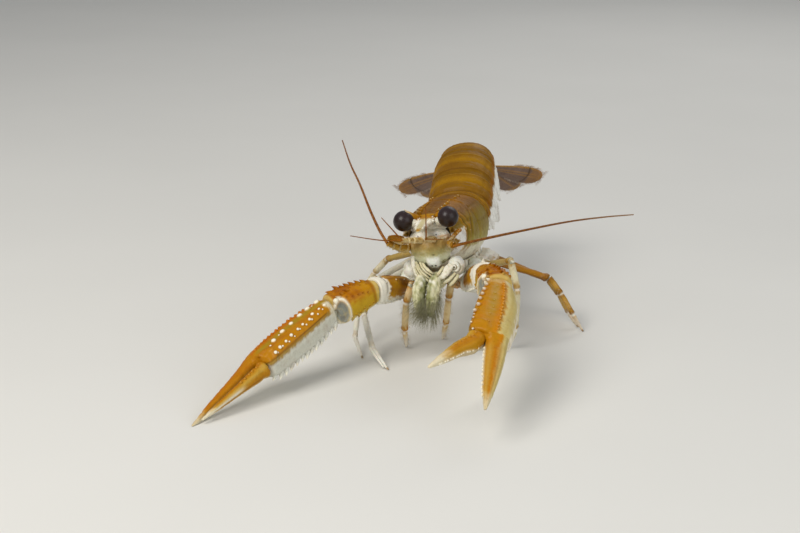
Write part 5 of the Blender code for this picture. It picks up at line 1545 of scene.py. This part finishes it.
def makeSockets():
    # Pale skin that fills the orbits behind the eyes' stalks.
    rings = []
    angles = roundAngles(28)
    for forward, size in ((-2.6, 0.55), (-2.2, 0.8), (-1.2, 0.94), (0, 1), (1, 0.97), (1.9, 0.86), (2.6, 0.66),
            (2.9, 0.4)):
        x = 6.7 * size * power(np.sin(angles), 0.8)
        z = 5.9 + 2.1 * size * power(np.cos(angles), 0.9) - 0.035 * x ** 2
        rings.append(np.array([place(body, (a, -forward, b)) for a, b in zip(x, z)]))
    piece = growForm("orbitSkin", rings)
    points = readPoints(piece)
    x, y, z = unplace(body, points).T
    pushOut(piece, 0.07 * wobble(points, 1.1, 135) - 0.3 * bump(x, 0, 0.35)
        + 0.3 * bump(np.abs(x), 2, 0.8) * fade(1, 2, -y)
        - 0.14 * bump(np.mod(np.abs(x) * 0.7 + z * 0.3, 1), 0.5, 0.16))
    points = readPoints(piece)
    colors = layered("#e9e6da", ("#b5aa90", fade(0, 1.1, wobble(points, 1.8, 136)) * 0.5),
        ("#b07a30", fade(6.6, 7.4, unplace(body, points)[:, 2]) * 0.5))
    finish(piece, colors, "paleShell", "pale_shell")


def throughCurve(points, count):
    # Evenly spread points on a smooth curve through the given ones.
    points = np.array(points, float)
    padded = np.vstack([2 * points[0] - points[1], points, 2 * points[-1] - points[-2]])
    curve = []
    for spot in np.linspace(0, len(points) - 1 - 1e-9, count):
        start = int(spot)
        t = spot - start
        a, b, c, d = padded[start:start + 4]
        curve.append(0.5 * (2 * b + (c - a) * t + (2 * a - 5 * b + 4 * c - d) * t ** 2
                + (3 * b - a - 3 * c + d) * t ** 3))
    return np.array(curve)


def makeWhip(name, curve, first, last, pitch, start=None):
    # A feeler of many small rings, each a little wider at its far rim.
    distances = lengthsAlong(curve)
    long = distances[-1]
    count = int(long / pitch)
    over = np.array([0.12, 0.2, 1]) if abs(unit(curve[-1] - curve[0])[2]) < 0.8 else np.array([0.3, 0.9, 0.1])
    angles = roundAngles(8)
    rings = []
    for number in range(count):
        for spot, swell in ((number, 0.92), (number + 0.3, 0.97), (number + 0.86, 1.08)):
            at = spot / count * long
            middle, ahead, behind = (np.array([np.interp(np.clip(value, 0, long), distances, curve[:, axis])
                        for axis in range(3)])
                for value in (at, at + 1, at - 1))
            way = unit(ahead - behind)
            high = squareTo(over, way)
            part = at / long
            radius = (first + (last - first) * part ** 0.8) * (1 + (swell - 1) * (1 - 0.6 * part))
            rings.append(middle + (np.outer(np.cos(angles), np.cross(way, high))
                    + np.outer(np.sin(angles), high)) * radius)
            if len(rings) == 1 and start is not None:
                rings[0] = slide(rings[0], way, start)
    whip = growForm(name, rings, 0)
    points = readPoints(whip)
    reached = np.linalg.norm(points - curve[0], axis=1)
    return whip, layered("#8a4c1a",
        ("#5c2e10", fade(-0.2, 0.8, np.sin(reached * 2.6)) * 0.5),
        ("#b8702a", fade(7, 0, reached) * 0.5),
        ("#b98656", fade(50, 90, reached) * 0.35))


feelers = {
    "antennae": {
        "L": ((9.6, -8.2, 44), (18, -4, 45.6), (30.6, 8, 46.3), (45, 29, 45), (56.3, 50, 41.9), (65, 72, 37.5)),
        "R": ((-14, -8.6, 43.6), (-17.5, -6.6, 48), (-21.8, -2, 53.5), (-28, 8, 60), (-34.8, 20, 64.8),
            (-43, 40, 68.5)),
    },
    "antennules": {
        "L": (((0.4, -10.5, 46.6), (0.8, -12.5, 50.5), (0.9, -13.5, 59)),
            ((0.4, -10.5, 46.6), (3.5, -13.5, 47.6), (7.4, -15, 48.2))),
        "R": (((-8.2, -10.5, 45.6), (-10.5, -12, 48.8), (-15.2, -12.5, 54)),
            ((-8.2, -10.5, 45.6), (-15, -13.5, 46), (-26, -14.5, 47.2))),
    },
    "thick": 0.56, "thin": 0.22, "whipThick": 0.34, "whipThin": 0.14, "ringPitch": 0.62,
    # growths on the base of an antenna, as on the claws; its length is added to a place of 0 or less
    "baseRows": (("thorn", 1.2, 3.2, 3, (168, 168), 1.6, 0.55, 1.1),
        ("thorn", 1.4, -0.8, 5, (96, 96), 0.8, 0.4, 1.1), ("thorn", 3.4, -0.6, 3, (205, 205), 0.7, 0.35, 1),
        ("knob", 1, -0.6, 12, (60, 140), 0.25, 0.26, 0.3, 40)),
}


def makeAntenna(label, sign):
    curve = throughCurve(feelers["antennae"][label], 60)
    root, bend = (place(body, np.array(head[key]) * (sign, 1, 1)) for key in ("baseRoot", "baseBend"))
    joint = bisector(bend, curve[0], throughCurve(feelers["antennae"][label], 16)[1])
    piece, guide = limbForm("feelerBase" + label, [root, bend, curve[0]], [(1.5, 1.6), (1.8, 1.8), (0.9, 0.9)],
        upward, corners=16, step=0.55, start=(root, unit(bend - root)), end=moved(joint, -gap / 2), lip=0.8)
    points, along, _, aside, above = survey(piece, guide)
    last = guide["at"][-1]
    joints = (1.7, last * 0.5, last * 0.76)
    pushOut(piece, segmented(along, joints, 0.36, 0.22) + 0.12 * bump(along, last - 0.2, 0.3)
        + 0.05 * wobble(points, 0.8, 141)
        - 0.1 * bump(np.mod(np.degrees(np.arctan2(above, aside)) / 24, 1), 0.5, 0.2))
    tree = treeOf(piece)
    rows = [(kind, near, far if far > 0 else last + far, *rest)
        for kind, near, far, *rest in feelers["baseRows"]]
    joinInto(piece, spineRows(tree, guide, sign, rows))
    points, along, _, aside, above = survey(piece, guide)
    grain, fine = wobble(points, 2, 142), wobble(points, 0.8, 143)
    ribs = np.mod(np.degrees(np.arctan2(above, aside)) / 24, 1)
    colors = layered("#b88238",
        ("#8a5a20", fade(0, 1.1, grain) * 0.6),
        ("#7d4a16", bump(ribs, 0.5, 0.16) * 0.5),
        ("#d2b68a", fade(0, -1.4, above + fine * 0.3) * 0.75),
        ("#e2cfae", sum(bump(along, joint, 0.2) for joint in joints) * 0.8),
        ("#985c1c", fade(last - 1, last - 0.4, along) * 0.4),
        ("#f0e4cc", fade(0.5, 0.95, tipwardOf(piece)) * 0.9))
    finish(piece, colors, "carapaceShell", "shell", "antenna_base_" + label)
    hairRow("feelerBaseHair" + label, tree, guide, 120, (0.8, last - 0.4), (210, 240, 270, 300, 330),
        (0.5, 1.4), (0.5, 1.3), 0.06, "paleHair", "shell", (0, 0, -0.1))
    whip, colors = makeWhip("feeler" + label, curve, feelers["thick"], feelers["thin"], feelers["ringPitch"],
        moved(joint, gap / 2))
    finish(whip, colors, "feelerShell", "feeler", "antenna_" + label)
    hairs = []
    for _ in range(420):
        spot = dice.uniform(0.01, 0.97) * 59
        low = int(spot)
        way = unit(curve[low + 1] - curve[low])
        out = unit(np.cross(way, jitter(1)))
        radius = feelers["thick"] + (feelers["thin"] - feelers["thick"]) * (spot / 59) ** 0.8
        root = curve[low] * (1 - spot + low) + curve[low + 1] * (spot - low) + out * radius * 0.9
        hairs.append((root, out + way * 0.9, dice.uniform(0.25, 0.5)))
    bristles("feelerHair" + label, hairs, 0.045, (0, 0, 0), "paleHair", "feeler")


def makeScale(label, sign):
    line = [place(body, (sign * x, -forward, z)) for x, forward, z in head["scaleLine"]]
    side, over = body[1][:, 0] * sign, body[1] @ np.array([-0.42 * sign, -0.5, 0.76])
    piece, guide = limbForm("feelerScale" + label, line, [(1.5, 0.5), (2.8, 0.5), (2.4, 0.42), (0.3, 0.25)],
        over, corners=18, squareness=1.6, step=0.55, lip=0.85)
    points, along, _, aside, above = survey(piece, guide)
    last = guide["at"][-1]
    spot = (aside * (1 if guide["sides"][3] @ side > 0 else -1)
        / np.interp(along / last, (0, 0.3, 0.65, 1), (1.5, 2.8, 2.4, 0.3)))
    pushOut(piece, 0.32 * bump(spot, 0.82, 0.14)
        - 0.13 * sum(bump(spot, mark, 0.07) for mark in (-0.5, -0.2, 0.1, 0.45)) * (above > 0)
        + 0.04 * wobble(points, 0.9, 151))
    way = unit(line[-1] - line[-2])
    joinInto(piece, [growth("thorn", line[-1] - way * 0.6, way + side * 0.1, over, 1.5, 0.42)])
    points, _, _, aside, *_ = survey(piece, guide)
    off = aside * (1 if guide["sides"][3] @ side > 0 else -1)
    colors = layered("#b8762a",
        ("#84501a", fade(0, 1.1, wobble(points, 2, 152)) * 0.5),
        ("#75430f", sum(bump(off, mark, 0.2) for mark in (-1.3, -0.5, 0.3, 1.2)) * 0.5),
        ("#dcc096", fade(-1, -2.2, off) * 0.8),
        ("#a05c1a", bump(off, 1.9, 0.5) * 0.5),
        ("#efe2c8", fade(0.4, 0.9, tipwardOf(piece)) * 0.9))
    finish(piece, colors, "carapaceShell", "shell", "antennal_scale_" + label)
    hairs = []
    for _ in range(260):
        row = dice.randrange(2, len(guide["at"]) - 2)
        root = (guide["middles"][row] - guide["sides"][row] * np.sign(guide["sides"][row] @ side)
            * guide["shapes"][row][0] * 0.9)
        hairs.append((root, -side * dice.uniform(0.6, 1) + guide["ways"][row] * dice.uniform(0.5, 1.3)
                + over * dice.uniform(-0.12, 0.12), dice.uniform(0.8, 1.6)))
    bristles("scaleFringe" + label, hairs, 0.06, (0, 0, -0.05), "paleHair", "shell")


def makeAntennule(label, sign):
    upper, lower = feelers["antennules"][label]
    root = place(body, (sign * 2.4, -4.2 - gap, 0.8))
    end = np.array(upper[0])
    piece, guide = limbForm("antennule" + label, [root, (root + end) / 2, end],
        [(1.2, 1.2), (0.95, 0.95), (0.7, 0.7)], upward, corners=14, step=0.5, start=(root, body[1][:, 1]),
        lip=0.8)
    points, along, *_ = survey(piece, guide)
    last = guide["at"][-1]
    joints = (last * 0.42, last * 0.7)
    pushOut(piece, segmented(along, joints, 0.26, 0.2) + 0.04 * wobble(points, 0.8, 161))
    if last > 5:
        joinInto(piece, spineRow(treeOf(piece), guide, sign, "thorn", 1, last - 0.8, 4, (160, 160), 0.5, 0.26,
                0.5))
    points, along, _, _, above = survey(piece, guide)
    colors = layered("#ccae86",
        ("#98683a", fade(0.2, 1, wobble(points, 1.8, 162)) * 0.7),
        ("#dccbac", fade(0.2, -0.9, above) * 0.6),
        ("#e2d2b2", sum(bump(along, joint, 0.18) for joint in joints) * 0.8),
        ("#efe2c8", fade(0.5, 0.95, tipwardOf(piece)) * 0.9))
    finish(piece, colors, "carapaceShell", "shell", "antennule_" + label)
    for number, points in enumerate((upper, lower)):
        curve = throughCurve(points, 30)
        curve[0] = curve[0] - unit(curve[1] - curve[0]) * 0.6
        thick = feelers["whipThick"] * (1, 0.85)[number]
        whip, colors = makeWhip("antennuleWhip%d%s" % (number + 1, label), curve, thick,
            feelers["whipThin"], 0.5)
        finish(whip, colors, "feelerShell", "shell")


mouthparts = {
    "maxillipeds": {
        "L": ((2.8, 5.5, 26.6), (2.8, -5.5, 30), (2.7, -9.2, 26.6), (2, -8.8, 20.8), (1.1, -6.2, 17.2)),
        "R": ((-1.6, 5.5, 26), (-2.2, -5, 29.6), (-2.6, -9, 26), (-2, -8.6, 20.4), (-0.9, -6, 17)),
    },
    "sizes": ((1.6, 1.7), (2.3, 2.1), (2.8, 2.3), (3.2, 2.4), (3.1, 2.4), (2.4, 1.9), (1, 1)),
    "hairs": 700, "hairLength": 6, "fanHeart": (3.5, -5.5, 28.5),
    # folded plates beside the upper lip: outer end, inner end (sideways, up), half width, how far they bow out
    "folds": {"L": ((3.9, -9.4, 0.6, -12.6, 0.6, 0.2), (6.6, -9, 0.9, -13.4, 1.5, 0.5),
            (7.6, -12.2, 2.6, -15.4, 0.7, 0.5), (8.6, -13, 4.2, -16.6, 0.8, 0.5)),
        "R": ((3.4, -7.4, 0.2, -11.4, 0.55, 0.5), (4.4, -7, 0.6, -12.4, 0.5, 0.8),
            (5.2, -7.6, 1.4, -13.4, 0.45, 0.9), (5.9, -6.8, 1.7, -14.6, 0.6, 1.2),
            (6.6, -7.6, 3, -15.2, 0.5, 1), (7, -4.6, 4.2, -15.2, 0.85, 1.4))},
    "boss": (8.2, -9.6),
}


def makeMaxilliped(label, sign):
    joints = [np.array(point) for point in mouthparts["maxillipeds"][label]]
    root = onCarapace(9, sign * 2.3, carapaceBottom(9, 2.3) - plates["mouthDepth"] - 2)
    line = [root, joints[0], (joints[0] + joints[1]) / 2, *joints[1:]]
    piece, guide = limbForm("maxilliped" + label, line, mouthparts["sizes"], np.array([1, 0, 0.1]), corners=14,
        step=0.9, lip=0.8)
    marks = lengthsAlong(np.array(line))[1:]
    points, along, angle, *_ = survey(piece, guide)
    cuts = (marks[0], marks[2], marks[3], marks[4])
    pushOut(piece, segmented(along, cuts, 0.2, 0.4) + 0.12 * wobble(points, 1.6, 171)
        - 0.16 * bump(np.mod(angle / 45 + along * 0.04, 1), 0.5, 0.14))
    tree = treeOf(piece)
    rows = [("thorn", marks[2] - 6, marks[3] + 4, 8, (turned, turned), 0.5, 0.28, 0.5, 10)
        for turned in (60, 200, 300)]
    joinInto(piece, spineRows(tree, guide, 1, rows))
    points, along, angle, *_ = survey(piece, guide)
    grain, fine = wobble(points, 2.2, 172), wobble(points, 0.9, 173)
    middle = np.abs(points[:, 0] - 1.2) if label == "L" else np.abs(points[:, 0] + 0.6)
    colors = layered("#ddd8b8",
        ("#8b8a5a", fade(0.1, 1.1, grain) * 0.6),
        ("#7d7a4c", bump(np.mod(angle / 45 + along * 0.04, 1), 0.5, 0.12) * 0.5),
        # painted shade: olive darkening on each maxilliped's inner side, where the two meet
        ("#6f7040", fade(2.4, 0.6, middle + fine * 0.3) * fade(marks[1], marks[2], along) * 0.7),
        ("#f4f1e4", bump(along, cuts[1] + 2, 2.2) * fade(0, -1, grain) * 0.8),
        ("#5f5e3c", fade(marks[4] - 4, marks[5], along + fine) * 0.8))
    finish(piece, colors, "paleShell", "pale_shell", "maxilliped_" + label)
    # straight bristles that stand out in an arc from the folded lengths
    hairs = []
    for _ in range(mouthparts["hairs"]):
        distance = dice.uniform(marks[2] - 1, marks[5] - 0.2)
        found = seat(tree, guide, distance, dice.uniform(0, 360))
        if found is not None:
            low = float(fade(marks[2] - 2, marks[4], distance))
            away = unit((found[0] - mouthparts["fanHeart"]) * (1, 0.5, 1))
            out = unit(found[1] * 0.35 + away * 1.1 + found[2] * 0.15 + jitter(0.07))
            long = mouthparts["hairLength"] * dice.uniform(0.7, 1.1) * (0.3 + 0.8 * low)
            if out[2] < (0.1 if found[0][2] < 21 else -0.55) and found[0][2] + out[2] * long > 0.5:
                hairs.append((found[0] - found[1] * 0.05, out, long))
    bristles("maxillipedHair" + label, hairs, 0.1, (0, 0.02, -0.03), "mouthHair", "pale_shell")


def makeMouthparts():
    # Plates folded beside the upper lip, and a ringed boss outside the left ones.
    for label, sign in hands:
        for number, (x, top, foot, bottom, half, bow) in enumerate(mouthparts["folds"][label]):
            line = []
            for part in (0, 0.3, 0.6, 0.85, 1):
                across = x + (foot - x) * part + bow * math.sin(math.pi * part)
                forward = 5.3 - 0.4 * across + 0.9 * math.sin(math.pi * part)
                side = sign * across + head["lipSide"] * (0.4 + 0.6 * part)
                line.append(place(body, (side, -forward, top + (bottom - top) * part)))
            sizes = [(half * size, deep)
                for size, deep in ((0.7, 0.34), (1, 0.4), (1.1, 0.4), (0.8, 0.3), (0.15, 0.1))]
            piece, guide = limbForm("mouthFold%d%s" % (number + 1, label), line, sizes,
                body[1] @ np.array([0, -1, 0.2]), corners=14, step=0.7, levels=1, squareness=1.9)
            points, _, _, aside, above = survey(piece, guide)
            pushOut(piece, 0.16 * bump(aside, 0.3 * half, 0.3 * half) * (above > 0)
                + 0.08 * wobble(points, 1.1, 181 + number))
            points, along, _, aside, *_ = survey(piece, guide)
            grain, last = wobble(points, 1.6, 185 + number), guide["at"][-1]
            colors = layered("#f2ecdc" if half > 0.8 else "#dcd2b4",
                ("#a0966a", fade(0.2, 1.2, grain) * 0.4),
                # painted shadow: each fold turns brown along one long edge, where it tucks against the next
                # fold; weaker on the wide folds
                ("#5f5030", fade(0.35, 0.9, -aside * sign / half) * (0.3 if half > 0.8 else 0.85)),
                ("#7d6c44", fade(last * 0.7, last, along) * 0.6))
            finish(piece, colors, "paleShell", "pale_shell")
            hairRow("foldHair%d%s" % (number + 1, label), treeOf(piece), guide, 40, (1, last - 0.5), (0, 180),
                (0.9, 1.5), (0.3, 0.8), 0.05, "mouthHair", "pale_shell")
    x, level = mouthparts["boss"]
    for label, sign in hands:
        line = [place(body, (sign * (x + forward * 0.12), -forward, level))
            for forward in (-3, -1, 0.8, 1.9, 2.5, 2.8)]
        piece, guide = limbForm("jawBoss" + label, line,
            [(2.4, 2.6), (3.1, 3.3), (2.9, 3.1), (2.1, 2.3), (1.1, 1.2), (0.3, 0.3)], body[1][:, 2], corners=20,
            squareness=2, step=0.5)
        points = readPoints(piece)
        off = unplace(body, points) - unplace(body, line[-1])
        far = np.hypot(off[:, 0] + 0.6, off[:, 2] + 0.4)
        arcs = fade(2.8, 2, far) * fade(-2.2, 0.4, off[:, 0] - off[:, 2]) * (sign > 0)
        pushOut(piece, 0.13 * np.sin(far * 5) * arcs + 0.06 * wobble(points, 1.2, 191))
        colors = layered("#efede2", ("#b9b592", fade(0.2, 1.2, wobble(points, 2.4, 192)) * 0.5),
            ("#7d6a42", fade(-0.1, -0.9, np.sin(far * 5)) * arcs * 0.85),
            ("#5f4c30", fade(0.55, 0.3, far) * arcs))
        finish(piece, colors, "paleShell", "pale_shell")


makeRostrum()
makeFace()
makeSockets()
for label, sign in hands:
    makeEye(label, sign)
    makeAntenna(label, sign)
    makeScale(label, sign)
    makeAntennule(label, sign)
    makeMaxilliped(label, sign)
makeMouthparts()
print("head done")


# Floor, lights and camera

studio = {
    "floorTone": "#dddbd5", "floorGrain": "#e3e1db", "skyTone": "#dfe3e8", "skyStrength": 0.34,
    "keyPower": 7.6, "fillPower": 3.2, "rimPower": 1.3,
    "lens": 75.6, "target": (-12.55, -25.84, 33.49), "eye": (116.52, -584.92, 208.91),
}


def makeFloor():
    bpy.ops.object.select_all(action="DESELECT")
    bpy.ops.mesh.primitive_plane_add(size=9, location=(0, 0, -0.0002))
    floor = bpy.context.active_object
    floor.name = "studioFloor"
    material, tree, shader, where, _ = newFinish("paleFloor")
    grain = addNode(tree, "TexNoise", "Fac", {"Scale": 9, "Vector": where})
    floorColor = mixed(tree, grain, (*tone(studio["floorTone"]), 1), studio["floorGrain"])
    fill(tree, shader, {"Base Color": floorColor, "Roughness": 0.85})
    floor.data.materials.append(material)


def makeLight(name, spot, size, energy, color=(1, 1, 1)):
    light = bpy.data.lights.new(name, "AREA")
    light.size = size
    light.energy = energy
    light.color = color
    lamp = bpy.data.objects.new(name, light)
    lamp.location = spot
    lamp.rotation_euler = (Vector((0, 0, 0.03)) - Vector(spot)).to_track_quat("-Z", "Y").to_euler()
    bpy.context.scene.collection.objects.link(lamp)


def makeCamera():
    lens = bpy.data.cameras.new("photoView")
    lens.lens = studio["lens"]
    lens.sensor_width = 36
    lens.clip_start, lens.clip_end = 0.01, 50
    camera = bpy.data.objects.new("photoView", lens)
    eye, target = Vector(studio["eye"]) * millimetre, Vector(studio["target"]) * millimetre
    camera.location = eye
    camera.rotation_euler = (target - eye).to_track_quat("-Z", "Y").to_euler()
    bpy.context.scene.collection.objects.link(camera)
    bpy.context.scene.camera = camera


makeFloor()
makeLight("keyLight", (-0.35, -0.62, 0.75), 0.55, studio["keyPower"], (1, 0.97, 0.92))
makeLight("fillLight", (0.8, -0.4, 0.45), 0.8, studio["fillPower"], (0.92, 0.96, 1))
makeLight("rimLight", (0.15, 0.75, 0.6), 0.5, studio["rimPower"])
world = bpy.data.worlds.new("paleRoom")
world.use_nodes = True
world.node_tree.nodes["Background"].inputs["Color"].default_value = (*tone(studio["skyTone"]), 1)
world.node_tree.nodes["Background"].inputs["Strength"].default_value = studio["skyStrength"]
bpy.context.scene.world = world
bpy.context.scene.view_settings.view_transform = "Standard"
makeCamera()
print("stage done")
